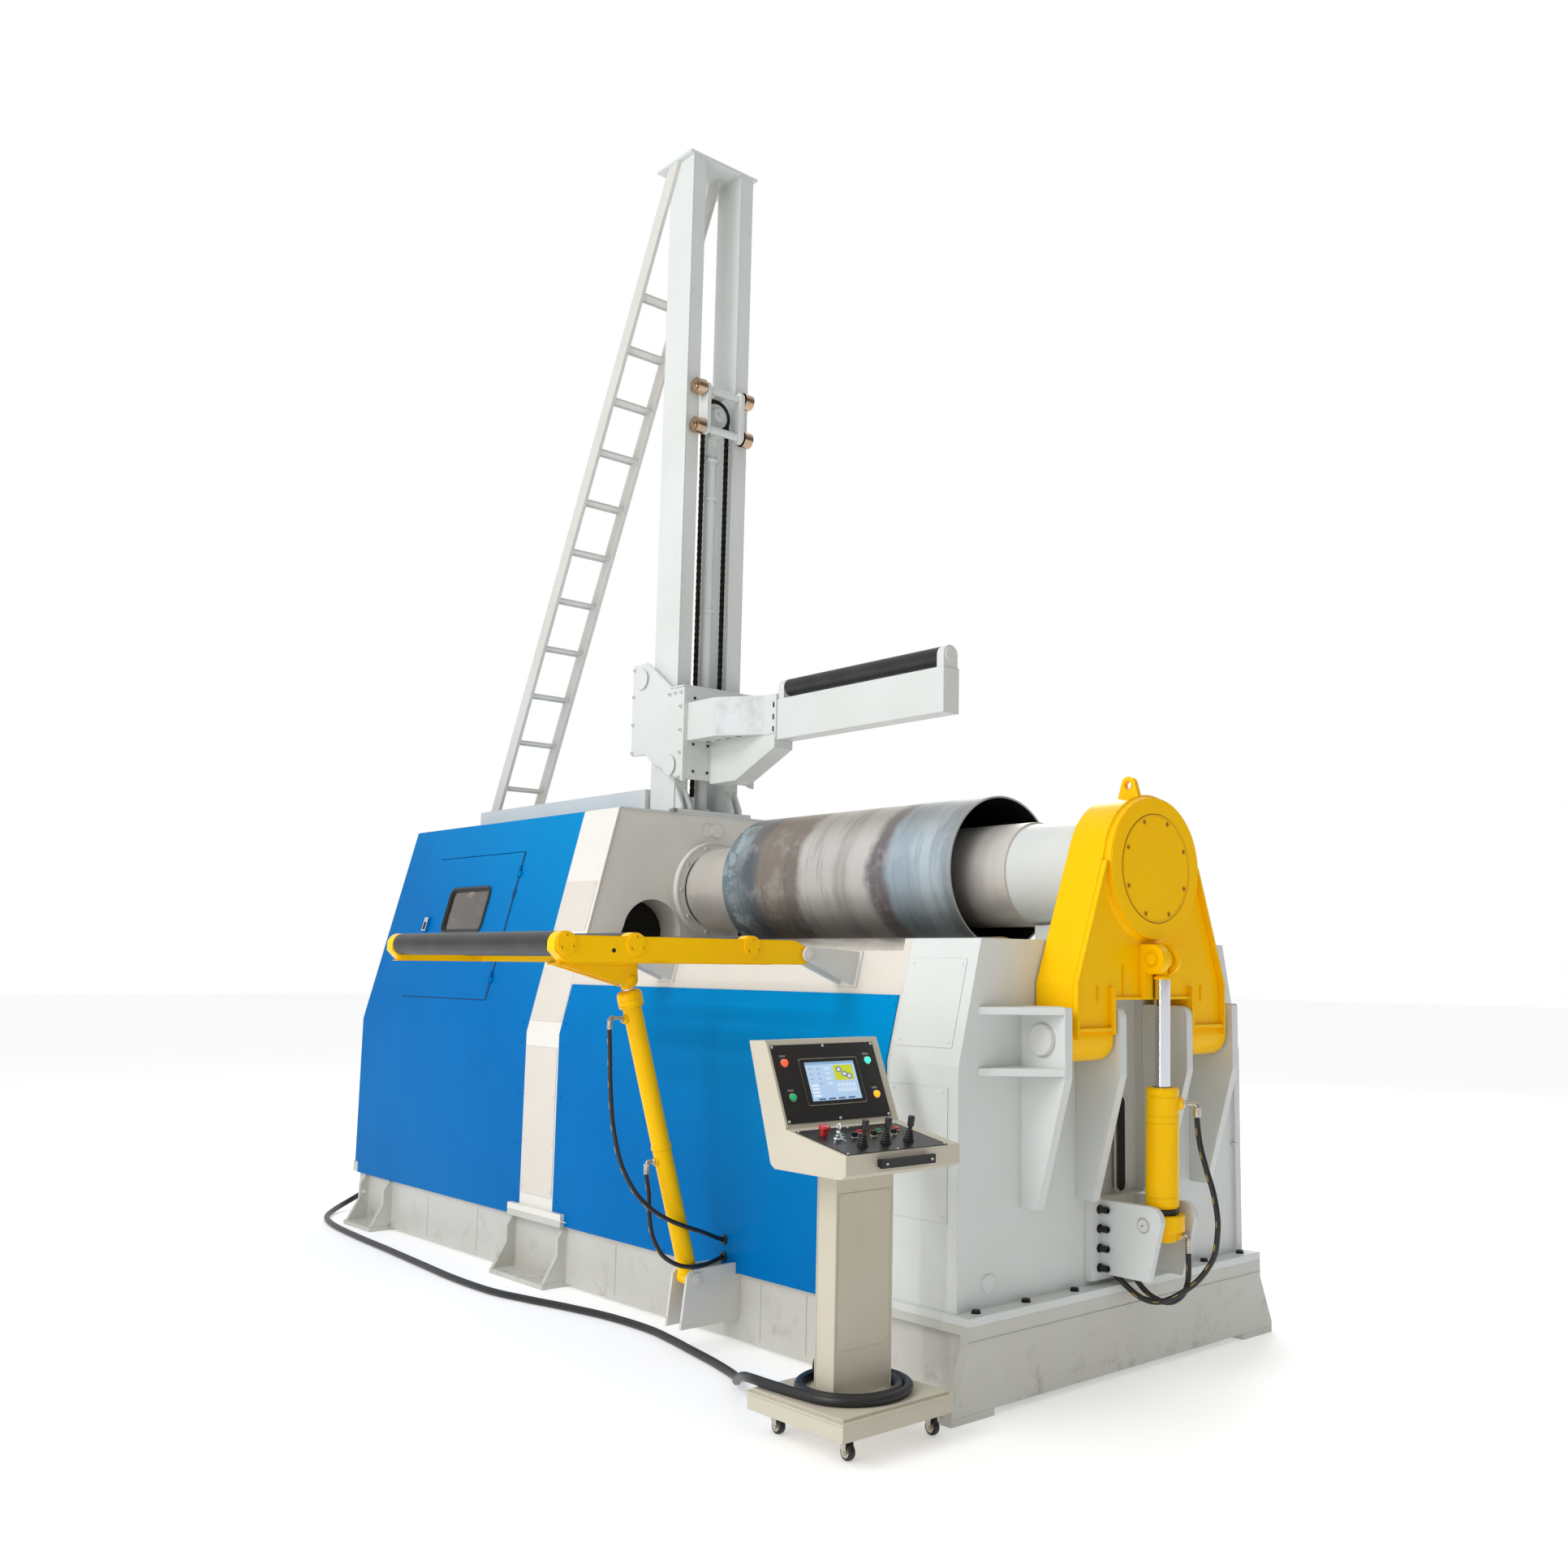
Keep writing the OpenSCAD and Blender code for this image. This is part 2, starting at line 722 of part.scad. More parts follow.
// Ears of the cylinder pin: the front one is thicker, and both run down the web
module yoke_ears() {
    low = eye_z - ear_r;
    color(yellow) for (span = [[-ear_in - ear_front_t, -ear_in], [ear_in, ear_in + ear_rear_t]]) {
        xz_plate(span[0], span[1]) {
            translate([eye_x, eye_z]) circle(ear_r);
            polygon([
                [yoke_x1, web_z + 1], [eye_x - ear_step, web_z + 1], [eye_x - ear_step, low + 6],
                [eye_x, low], [eye_x, eye_z + ear_r], [yoke_x1, eye_z + ear_r]
            ]);
        }
    }
    color(yellow) {
        rod_y(-ear_in - ear_front_t - pin_proud, -ear_in, eye_x, eye_z, 24);
        rod_y(ear_in, ear_in + ear_rear_t + pin_proud, eye_x, eye_z, 24);
    }
}

module yoke_cover() {
    color(yellow) rod_x(yoke_x1 + boss_t, yoke_x1 + boss_t + 6, 0, top_z, 213, $fn = 96);
}

module tilt_bracket() {
    color(white) {
        block([drop_out, -180, 360], [drop_out + 30, 180, 665]);
        both_sides() {
            xz_plate(-tilt_cheek_in - 25, -tilt_cheek_in) polygon([
                [drop_out + 26, 660],
                for (a = [90:-18:0]) [tilt_x + 28 + 55 * cos(a), 605 + 55 * sin(a)],
                [tilt_x + 23, 383], [drop_out + 26, 383]
            ]);
        }
        rod_y(-tilt_cheek_in - 30, tilt_cheek_in + 30, tilt_x, tilt_z, tilt_pin_r);
        bar([drop_out + 20, -67.6, 400.4], tilt_hose_a[len(tilt_hose_a) - 1] - [pin_gap, 0, -pin_gap], 14);
        bar([drop_out + 26, -1.6, 448], tilt_hose_b[len(tilt_hose_b) - 1] - [pin_gap, 0, -pin_gap], 14);
    }
}

// Local frame of the tilt cylinder: Z runs from its lower pin to its upper pin
module along_tilt() {
    translate([tilt_x, 0, tilt_z]) rotate([0, tilt_lean, 0]) children();
}

module tilt_barrel() {
    color(yellow) {
        along_tilt() difference() {
            union() {
                translate([0, 0, -68]) cylinder(r = 60, h = 80);
                translate([0, 0, -28]) cylinder(r = 86, h = 60);
                translate([0, 0, 12]) cylinder(r = 60, h = 60);
                translate([0, 0, 57]) cylinder(r = tilt_barrel_r, h = tilt_len - 57);
            }
            translate([0, 0, 90]) cylinder(r = tilt_rod_r + pin_gap, h = tilt_len);
            rod_y(-100, 100, 0, 0, tilt_pin_r + pin_gap);
        }
        bar([tilt_x + 50, 40, 1034], [2765, 80, 1034], 13);
        bar([2765, 80, 1046], tilt_hose_a[0] + [0, 0, pin_gap], 15);
        bar([tilt_x + 35, 45, 540], [2724, 70, 540], 12);
        bar([2724, 70, 552], tilt_hose_b[0] + [0, 0, pin_gap], 15);
    }
}

module tilt_rod() {
    color(chrome) along_tilt() {
        translate([0, 0, tilt_len - 68])
            cylinder(r = tilt_rod_r, h = tilt_span - tilt_len + 56 - ear_r);
        translate([0, 0, tilt_span - ear_r - 14]) cylinder(r = 19, h = ear_r);
        rod_y(-eye_half, eye_half, 0, tilt_span, tilt_eye_r);
    }
}

// ---- Side support table ----

module table_brackets() {
    color(white) {
        for (x = [arm_left, arm_right - arm_w], side = [-1, 1]) {
            x0 = side < 0 ? x - 24 : x + arm_w + 6;
            yz_plate(x0, x0 + 18) {
                polygon([
                    [-half_w(1470) - pin_gap, 1470], [-half_w(1600) - pin_gap, 1600],
                    [-arm_y, arm_z + 28],
                    [-arm_y - 20, arm_z - 20]
                ]);
                translate([-arm_y, arm_z]) circle(28);
            }
        }
        for (x = [arm_left, arm_right - arm_w]) {
            rod_x(x - 30, x + arm_w + 30, -arm_y, arm_z, table_pin_r);
        }
        for (side = [-1, 1]) {
            x0 = side < 0 ? lift_x - lift_cheek_in - 14 : lift_x + lift_cheek_in;
            yz_plate(x0, x0 + 14) polygon([
                [-beam_face, 98], [-lift_y - 70, 98], [-lift_y - 45, 300], [-lift_y - 20, 326],
                [-body_half_w - panel_t, 326], [-body_half_w - panel_t, deck_z],
                [-beam_face, deck_z]
            ]);
        }
        rod_x(lift_x - lift_cheek_in - 20, lift_x + lift_cheek_in + 20, -lift_y, lift_z, lift_pin_r);
    }
}

// Side outline of a table beam with its humps over the rollers
module table_beam_outline() {
    top = table_bar_z0 + table_bar_h;
    difference() {
        union() {
            polygon([
                [-arm_y + 10, table_bar_z0 + 10], [-arm_y + 10, top - 30], [-arm_y - 60, top],
                [-arm_end + 20, top], [-arm_end, top - 30], [-arm_end, table_bar_z0 + 40],
                [-arm_end + 40, table_bar_z0], [-arm_y - 20, table_bar_z0]
            ]);
            translate([-arm_y, arm_z]) circle(28);
            for (y = roller_ys) translate([-y, roller_z]) circle(roller_r);
        }
        translate([-arm_y, arm_z]) circle(table_pin_r + pin_gap);
        for (y = roller_ys) translate([-y, roller_z]) circle(roller_shaft_r + pin_gap);
    }
}

module table_beams() {
    color(yellow) for (x = [arm_left, arm_right - arm_w]) {
        yz_plate(x, x + arm_w) table_beam_outline();
    }
}

module table_crossbars() {
    color(yellow) for (y = [1740, 1470]) {
        block([arm_left + arm_w, -y, table_bar_z0], [arm_right - arm_w, -y + 60, table_bar_z0 + 42]);
    }
}

module table_lug() {
    color(yellow) {
        block([lift_x - 45, -1750, table_bar_z0 - 10], [lift_x + 45, -1400, table_bar_z0]);
        for (side = [-1, 1]) {
            x0 = side < 0 ? lift_x - 40 : lift_x + 25;
            yz_plate(x0, x0 + 15) {
                polygon([
                    [-1750, table_bar_z0 - 9], [-1400, table_bar_z0 - 9], [-lug_y + 30, lug_z],
                    [-lug_y - 14, lug_z - 27]
                ]);
                translate([-lug_y, lug_z]) circle(30);
            }
            rod_x(side < 0 ? x0 - 8 : x0, side < 0 ? x0 + 15 : x0 + 23, -lug_y, lug_z, 18);
        }
    }
}

module support_roller(y) {
    color(dark) {
        rod_x(arm_left + arm_w + 5, arm_right - arm_w - 5, -y, roller_z, roller_r);
        rod_x(arm_left + 6, arm_right - 6, -y, roller_z, roller_shaft_r);
    }
}

module support_roller_outer() {
    support_roller(roller_ys[0]);
}

module support_roller_middle() {
    support_roller(roller_ys[1]);
}

module support_roller_inner() {
    support_roller(roller_ys[2]);
}

// Local frame of the table cylinder: Z runs from its lower pin to its upper pin
module along_lift() {
    translate([lift_x, -lift_y, lift_z]) rotate([lift_lean, 0, 0]) children();
}

module table_barrel() {
    color(yellow) {
        along_lift() difference() {
            union() {
                translate([0, 0, 20]) cylinder(r = lift_barrel_r, h = lift_span - 64);
                translate([0, 0, lift_span - 110]) cylinder(r = 50, h = 66);
                rod_x(-lift_cheek_in + 5, lift_cheek_in - 5, 0, 0, 34);
                translate([0, 0, 540]) cylinder(r = lift_barrel_r + 3, h = 14);
            }
            translate([0, 0, 420]) cylinder(r = lift_rod_r + pin_gap, h = lift_span);
            rod_x(-60, 60, 0, 0, lift_pin_r + pin_gap);
        }
        bar([lift_x, -lift_y - 331, 1322], [lift_x, -1492, 1334], 9);
        bar([lift_x, -1492, 1342], table_hose_a[0] + [0, 0, pin_gap], 11);
        bar([lift_x, -lift_y - 168, 756], [lift_x, -1299, 762], 9);
        bar([lift_x, -1299, 770], table_hose_b[0] + [0, 0, pin_gap], 11);
    }
}

module table_rod() {
    color(chrome) along_lift() {
        translate([0, 0, 700]) cylinder(r = lift_rod_r, h = lift_span - 720);
        translate([0, 0, lift_span - 40]) cylinder(r = 18, h = 30);
        rod_x(-eye_half, eye_half, 0, lift_span, 28);
    }
}

// ---- Tower and overhead support ----

module tower_columns() {
    color(white) both_sides() {
        block([-column_back, -column_out, column_z0], [-column_front, -column_in, tower_top]);
    }
}

module tower_top_plate() {
    color(white) block([-745, -column_out - 25, tower_top],
                       [-column_front + 6, column_out + 25, tower_top + 15]);
}

module tower_base() {
    color(white) {
        block([-column_back - 10, -260, body_top], [-drive_right, 260, column_z0]);
        both_sides() for (y = [column_in + 8, column_out - 24]) {
            xz_plate(-y - 16, -y) polygon([
                [-column_front, column_z0 - 1], [-drive_right - 5, column_z0 - 1],
                [-drive_right - 5, column_z0 + 20], [-column_front, 2500]
            ]);
        }
        block([chain_x - chain_t / 2, -chain_y - chain_t / 2, column_z0 - 1],
              [chain_x + chain_t / 2, -chain_y + chain_t / 2, 2450]);
    }
}

function ladder_x(z) = -1148 - (4894 - z) * ladder_slope;

module tower_ladder() {
    color(white) {
        for (y0 = [-column_out - 20, 55]) {
            xz_plate(y0, y0 + 20) polygon([
                [ladder_x(2500) - 100, 2500], [ladder_x(2500), 2500],
                [ladder_x(tower_top), tower_top], [ladder_x(tower_top) - 100, tower_top]
            ]);
        }
        for (k = [0:rung_count - 1]) {
            z = 2641 + k * rung_pitch;
            block([ladder_x(z) - 92, -column_out - 1, z], [ladder_x(z) - 10, 56, z + 12]);
        }
    }
}

module lift_tube() {
    color(white) difference() {
        union() {
            translate([ram_x, 0, lift_foot_z]) cylinder(r = 55, h = 20);
            translate([ram_x, 0, lift_foot_z]) cylinder(r = tube_r, h = tube_top - lift_foot_z);
            translate([ram_x, 0, tube_top - 20]) cylinder(r = 50, h = 20);
        }
        translate([ram_x, 0, lift_foot_z + 60]) {
            cylinder(r = lift_ram_r + pin_gap, h = tube_top - lift_foot_z);
        }
    }
}

module chain_strand(y, z0) {
    block([chain_x - chain_t / 2, y - chain_t / 2, z0], [chain_x + chain_t / 2, y + chain_t / 2,
          sprocket_z]);
}

module chain_front() {
    color(dark) chain_strand(-chain_y, 2450);
}

module chain_rear() {
    color(dark) chain_strand(chain_y, 2900);
}

module crosshead() {
    wrap_r = sprocket_r + chain_t / 2;
    color(white) {
        translate([ram_x, 0, 2900]) cylinder(r = lift_ram_r, h = 1560);
        block([ram_x - 40, -35, tube_top + 20], [ram_x + 20, 35, sprocket_z + 135]);
        for (z = guide_zs) block([ram_x, -30, z - 18], [guide_x, 30, z + 18]);
        rod_x(ram_x + 19, -385, 0, sprocket_z, 46);
        rod_x(chain_x - 8, chain_x + 8, 0, sprocket_z, sprocket_r - chain_t / 2);
        for (s = [-1, 1]) {
            y0 = s < 0 ? -128 : 104;
            xz_plate(y0, y0 + 24) slot_2d([guide_x, guide_zs[1]], [guide_x, guide_zs[0]], 38);
        }
        for (z = guide_zs) {
            rod_y(-128, 128, guide_x, z, 22);
            rod_y(-196, 196, guide_x, z, 14);
        }
        difference() {
            rod_x(chain_x - chain_t / 2, chain_x + chain_t / 2, 0, sprocket_z, wrap_r);
            rod_x(chain_x - chain_t, chain_x + chain_t, 0, sprocket_z, sprocket_r - chain_t / 2 - 1);
            block([chain_x - chain_t, -200, sprocket_z - 200], [chain_x + chain_t, 200, sprocket_z]);
        }
    }
}

module crosshead_rollers() {
    color(chrome) for (z = guide_zs, s = [-1, 1]) {
        y0 = s < 0 ? -190 : 135;
        difference() {
            rod_y(y0, y0 + 55, guide_x, z, guide_r);
            rod_y(y0 - 1, y0 + 56, guide_x, z, 14 + pin_gap);
        }
    }
}

module carriage_outline() {
    polygon([
        [-795, 3210], [-665, 3210], [-410, 3033], [front_plate_x, 3030], [front_plate_x, 2514],
        [-585, 2640], [-650, 2690], [-795, 2697]
    ]);
}

module carriage_plates() {
    color(white) both_sides() {
        xz_plate(-carriage_out, -carriage_in) carriage_outline();
        for (p = [[-695, 3118], [-405, 2608]]) {
            rod_y(-carriage_out - 10, -carriage_out + 1, p.x, p.y, 46);
        }
    }
}

module carriage_frame() {
    color(white) {
        block([front_plate_x - 20, -carriage_in, 2530], [front_plate_x, carriage_in, 3030]);
        block([-785, -carriage_in, 2760], [-column_back - 30, carriage_in, 3120]);
        both_sides() {
            block([-column_front + 6, -column_out + 6, 2580],
                  [front_plate_x - 19, -column_in - 8, 2680]);
            block([-column_back - 31, -column_out + 6, 3050],
                  [-column_back - 6, -column_in - 8, 3110]);
        }
        block([chain_x - chain_t / 2, chain_y - chain_t / 2, 2870],
              [front_plate_x - 19, chain_y + chain_t / 2, 2900]);
    }
}

module arm_bracket() {
    color(white) {
        xy_plate(2735, 2942) polygon([
            [front_plate_x, -215], [-50, -215], [185, -60], [270, -55],
            [270, 55], [185, 60], [-50, 215], [front_plate_x, 215]
        ]);
        xz_plate(-60, 60) polygon([
            [front_plate_x, 2736], [270, 2736], [270, 2660], [-60, 2514], [front_plate_x, 2514]
        ]);
    }
}

// Left side of the roller's left bracket
arm_roller_x = 275;

module top_arm() {
    low = beam_top - beam_h;
    color(white) {
        block([270, -50, low], [beam_end, 50, beam_top]);
        for (x = [arm_roller_x, beam_end - 5 - top_bracket_t]) {
            yz_plate(x, x + top_bracket_t) {
                translate([0, 2973]) circle(top_roller_r);
                translate([-top_roller_r, beam_top - 1]) square([2 * top_roller_r, 62]);
            }
        }
    }
}

module top_arm_roller() {
    color(dark) {
        x0 = arm_roller_x + top_bracket_t;
        x1 = beam_end - 5 - top_bracket_t;
        rod_x(x0 + 5, x1 - 5, 0, 2973, top_roller_r);
        rod_x(x0 + pin_gap, x1 - pin_gap, 0, 2973, 16);
    }
}

// ---- Control desk and flexible lines ----

module desk_base_box() {
    h = desk_base / 2;
    color(cream) {
        block([desk_x - h, -desk_y - h, skirt_z0], [desk_x + h, -desk_y + h, skirt_z1]);
        block([desk_x - h + 12, -desk_y - h + 12, skirt_z1 - 1], [desk_x + h - 12, -desk_y + h - 12,
              desk_z]);
    }
}

module desk_post() {
    x0 = desk_x + 11.5 - post_d / 2;
    color(cream) block([x0, -desk_y - post_w / 2, desk_z], [x0 + post_d, -desk_y + post_w / 2,
                       post_z1]);
}

module desk_head() {
    color(cream) xz_plate(-desk_y - head_w / 2, -desk_y + head_w / 2) polygon([
        [2079, 1289], [2165, 1293], [2289, 1008], [2591, 953], [2593, 891], [2566, post_z1],
        [2233, post_z1], [2211, 890]
    ]);
}

// Local frame of the sloping desk panel: X down the slope, Z out of it
module on_desk_panel() {
    translate([2289, 0, 1008]) rotate([0, atan2(55, 302), 0]) translate([0, 0, pin_gap])
        children();
}

module desk_controls() {
    stick_u = 233.5;
    stop_u = 98.5;
    color(dark) {
        on_desk_panel() {
            for (y = [-125, -18, 80]) translate([stick_u, y - desk_y, 0]) cylinder(r = 14, h = 63);
            translate([stop_u, -178 - desk_y, 0]) cylinder(r = 19, h = 33);
        }
        for (y = [-112, 88]) block([2592.5, y - 9 - desk_y, 909], [2618, y + 9 - desk_y, 933]);
        block([2612, -130 - desk_y, 907], [2628, 106 - desk_y, 936]);
    }
}

module desk_casters() {
    h = desk_base / 2;
    color(dark) for (x = [desk_x - h + 28, desk_x + h - 106], y = [desk_y + h - 90,
                     desk_y - h + 20]) {
        rod_y(-y - 12, -y + 12, x + 14, 27, 27);
        block([x - 14, -y - 20, 50], [x + 22, -y + 20, skirt_z0 - 6]);
        block([x - 26, -y - 30, skirt_z0 - 7], [x + 34, -y + 30, skirt_z0]);
    }
}

// Points of the desk cable from the coil on the desk base to the gland on the machine base
cable_points = [
    [2256, -1498, 168.2], [2150, -1507, 171], [2063, -1500, 167], [1940, -1440, 137],
    [1807, -1360, 86], [1690, -1275, 42], [1572, -1195, 19], [1380, -1143, 17],
    [1171, -1105, 17], [960, -1068, 17], [762, -1045, 17], [480, -1055, 17], [208, -1100, 17],
    [-60, -1160, 17], [-320, -1205, 17], [-700, -1207, 17], [-1085, -1182, 17],
    [-1550, -1150, 17], [-2016, -1122, 17], [-2450, -1080, 17], [-2740, -1005, 17],
    [-2920, -890, 24], [-2985, -770, 60], [-2960, -680, 110], [-2880, -622, 145],
    [-2790, -600, 160], [-2700, -600, 160]
];

// Hose from the upper port of the tilt cylinder to its bracket
tilt_hose_a = [
    [2765, 80, 1010], [2765, 80, 965], [2777, 80, 880], [2803, 80, 796], [2834, 80, 709],
    [2851, 80, 622], [2850, 80, 560], [2838, 79, 487], [2811, 74, 434], [2768, 60, 378],
    [2712, 38, 330], [2655, 12, 296], [2606, -12, 290], [2564, -34, 306], [2528, -50, 334],
    [2498, -58, 358], [2470, -63, 380]
];

// Hose from the lower port of the tilt cylinder to its bracket
tilt_hose_b = [
    [2724, 70, 500], [2724, 70, 465], [2724, 70, 420], [2720, 70, 370], [2700, 69, 322],
    [2660, 66, 288], [2612, 58, 279], [2566, 44, 295], [2534, 29, 325], [2510, 18, 358],
    [2488, 9, 391], [2470, 4, 418]
];

// Hose from the upper port of the table cylinder to its grommet in the side panel
table_hose_a = [
    [1095, -1492, 1318], [1095, -1492, 1270], [1098, -1489, 1200], [1102, -1483, 1061],
    [1110, -1471, 920], [1122, -1440, 779], [1135, -1384, 667], [1146, -1321, 597],
    [1152, -1246, 546], [1152, -1156, 504], [1136, -1053, 467], [1095, -958, 430],
    [1077, -915, 414], [1070, -887, 407]
];

// Hose from the lower port of the table cylinder to its grommet in the side panel
table_hose_b = [
    [1095, -1299, 746], [1095, -1299, 710], [1100, -1288, 638], [1108, -1286, 545],
    [1120, -1274, 467], [1135, -1239, 399], [1147, -1182, 358], [1150, -1113, 338],
    [1130, -1028, 333], [1100, -950, 337], [1078, -912, 339], [1070, -887, 339]
];

module cable_coil() {
    color(dark) translate([desk_x + 8, -desk_y - 2, desk_z]) rotate_extrude()
        translate([coil_in, 0]) square([coil_out - coil_in, 2 * cable_r + 2]);
}

module desk_cable() {
    color(dark) swept_tube(cable_points, cable_r);
}

module tilt_hose_upper() {
    color(dark) swept_tube(tilt_hose_a, hose_r);
}

module tilt_hose_lower() {
    color(dark) swept_tube(tilt_hose_b, hose_r);
}

module table_hose_upper() {
    color(dark) swept_tube(table_hose_a, table_hose_r);
}

module table_hose_lower() {
    color(dark) swept_tube(table_hose_b, table_hose_r);
}

base_front_beam();
base_rear_beam();
base_deck();
drop_end_frame();
pivot_brackets();
drive_frame();
roll_ring();
drive_housing();
top_beam();
side_cladding();
side_panels();
tower_columns();
tower_top_plate();
tower_base();
tower_ladder();
lift_tube();
chain_front();
bottom_roll();
side_roll_rear();
rolled_shell();
tilt_bracket();
table_brackets();
desk_base_box();
desk_post();
desk_head();
desk_controls();
desk_casters();
cable_coil();
desk_cable();
tilt_hose_upper();
tilt_hose_lower();
table_hose_upper();
table_hose_lower();
housing_door();
door_window();
top_roll();
roll_collar();
side_roll_front();
yoke();
yoke_ears();
yoke_cover();
tilt_barrel();
tilt_rod();
table_beams();
table_crossbars();
table_lug();
support_roller_outer();
support_roller_middle();
support_roller_inner();
table_barrel();
table_rod();
carriage_plates();
carriage_frame();
arm_bracket();
top_arm();
top_arm_roller();
chain_rear();
crosshead();
crosshead_rollers();
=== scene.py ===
import math
import random

import bmesh
import bpy
from mathutils import Matrix, Vector


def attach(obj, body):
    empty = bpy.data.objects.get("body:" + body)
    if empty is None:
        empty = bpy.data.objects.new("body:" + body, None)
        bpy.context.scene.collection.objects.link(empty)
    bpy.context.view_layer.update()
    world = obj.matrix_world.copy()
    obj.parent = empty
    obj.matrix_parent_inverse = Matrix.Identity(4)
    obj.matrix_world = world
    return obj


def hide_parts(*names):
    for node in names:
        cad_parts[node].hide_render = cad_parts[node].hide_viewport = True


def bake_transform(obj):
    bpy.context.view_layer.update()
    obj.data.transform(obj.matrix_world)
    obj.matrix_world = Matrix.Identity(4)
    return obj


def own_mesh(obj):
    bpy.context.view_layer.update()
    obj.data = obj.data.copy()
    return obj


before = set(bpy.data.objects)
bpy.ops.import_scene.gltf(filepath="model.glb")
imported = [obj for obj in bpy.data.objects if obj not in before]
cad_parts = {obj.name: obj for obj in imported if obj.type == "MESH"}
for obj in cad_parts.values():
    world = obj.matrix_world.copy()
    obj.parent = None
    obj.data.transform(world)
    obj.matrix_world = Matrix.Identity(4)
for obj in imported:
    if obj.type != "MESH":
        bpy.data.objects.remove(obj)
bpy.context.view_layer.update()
random.seed(7)
print("frame loaded")

# Shapes are drawn in millimetres in the frame's axes; a finished piece is scaled to metres
metre = 0.001
xDir, yDir, zDir = Vector((1, 0, 0)), Vector((0, 1, 0)), Vector((0, 0, 1))
yzPlane = Matrix(((0, 0, 1, 0), (1, 0, 0, 0), (0, 1, 0, 0), (0, 0, 0, 1)))
xzPlane = Matrix(((1, 0, 0, 0), (0, 0, -1, 0), (0, 1, 0, 0), (0, 0, 0, 1)))

# Front of the body: upright up to the crease, then leaning back
body = {"y": -880, "crease": 1194, "lean": 0.25}
leanAngle = math.atan(body["lean"])
faceOut = Vector((0, -math.cos(leanAngle), math.sin(leanAngle)))
faceUp = Vector((0, math.sin(leanAngle), math.cos(leanAngle)))
leaningFace = Matrix.Translation((0, body["y"], body["crease"])) @ Matrix(
    (xDir, faceUp, faceOut)).transposed().to_4x4()
# Height of the top roll's axis
rollZ = 1940


def faceY(z):
    return body["y"] + max(0, z - body["crease"]) * body["lean"]


def climb(z):
    # Way up the leaning face to a height
    return (z - body["crease"]) / math.cos(leanAngle)


def arc(x, y, radius, start, turn=90, steps=6):
    angles = [math.radians(start + turn * k / steps) for k in range(steps + 1)]
    return [(x + radius * math.cos(a), y + radius * math.sin(a)) for a in angles]


def around(count, radius, start=0):
    # Places spread evenly on a circle
    return arc(0, 0, radius, start, 360, count)[:-1]


def slotOutline(x, low, high, radius, steps):
    return arc(x, high, radius, 0, 180, steps)[:-1] + arc(x, low, radius, 180, 180, steps)


def roundedBox(x0, x1, y0, y1, radius, steps=6):
    corners = ((x1 - radius, y1 - radius, 0), (x0 + radius, y1 - radius, 90),
               (x0 + radius, y0 + radius, 180), (x1 - radius, y0 + radius, 270))
    return [p for x, y, start in corners for p in arc(x, y, radius, start, 90, steps)]


def along(at, direction, roll=0.0):
    turn = Vector(direction).to_track_quat("Z", "Y").to_matrix().to_4x4()
    return Matrix.Translation(Vector(at)) @ turn @ Matrix.Rotation(roll, 4, "Z")


def linear(hexCode):
    parts = [int(hexCode[i:i + 2], 16) / 255 for i in (0, 2, 4)]
    return tuple(p / 12.92 if p <= 0.04045 else ((p + 0.055) / 1.055) ** 2.4
                 for p in parts) + (1.0,)


camera = {"place": (6.067, -4.593, 1.55), "yaw": 46.29, "pitch": 7.04, "roll": 0.64,
          "lens": 32.95, "shift": (-0.0836, 0.0027)}


def addCamera():
    yaw, pitch, roll = (math.radians(camera[k]) for k in ("yaw", "pitch", "roll"))
    ahead = Vector((-math.sin(yaw) * math.cos(pitch), math.cos(yaw) * math.cos(pitch),
                    math.sin(pitch)))
    right = Vector((math.cos(yaw), math.sin(yaw), 0))
    up = right.cross(ahead)
    side = right * math.cos(roll) + up * math.sin(roll)
    top = up * math.cos(roll) - right * math.sin(roll)
    data = bpy.data.cameras.new("camera")
    data.lens, data.sensor_width = camera["lens"], 36
    data.shift_x, data.shift_y = camera["shift"]
    data.clip_end = 200
    eye = bpy.data.objects.new("camera", data)
    eye.matrix_world = Matrix.Translation(camera["place"]) @ Matrix(
        (side, top, -ahead)).transposed().to_4x4()
    bpy.context.scene.collection.objects.link(eye)
    bpy.context.scene.camera = eye


class Val:
    def __init__(self, shader, socket):
        self.shader, self.socket = shader, socket

    def maths(self, operation, *others, swap=False):
        row = [*others, self] if swap else [self, *others]
        return self.shader.node("ShaderNodeMath", {"operation": operation},
                                dict(enumerate(row)))

    def __add__(self, other):
        return self.maths("ADD", other)

    __radd__ = __add__

    def __sub__(self, other):
        return self.maths("SUBTRACT", other)

    def __rsub__(self, other):
        return self.maths("SUBTRACT", other, swap=True)

    def __mul__(self, other):
        return self.maths("MULTIPLY", other)

    __rmul__ = __mul__

    def __pow__(self, other):
        return self.maths("POWER", other)

    def above(self, low, high):
        # Climbs smoothly from 0 to 1 between two values
        return self.shader.node("ShaderNodeMapRange", {"interpolation_type": "SMOOTHSTEP"},
                                {0: self, 1: low, 2: high, 3: 0.0, 4: 1.0})

    def between(self, low, high):
        return self.maths("GREATER_THAN", low) * self.maths("LESS_THAN", high)


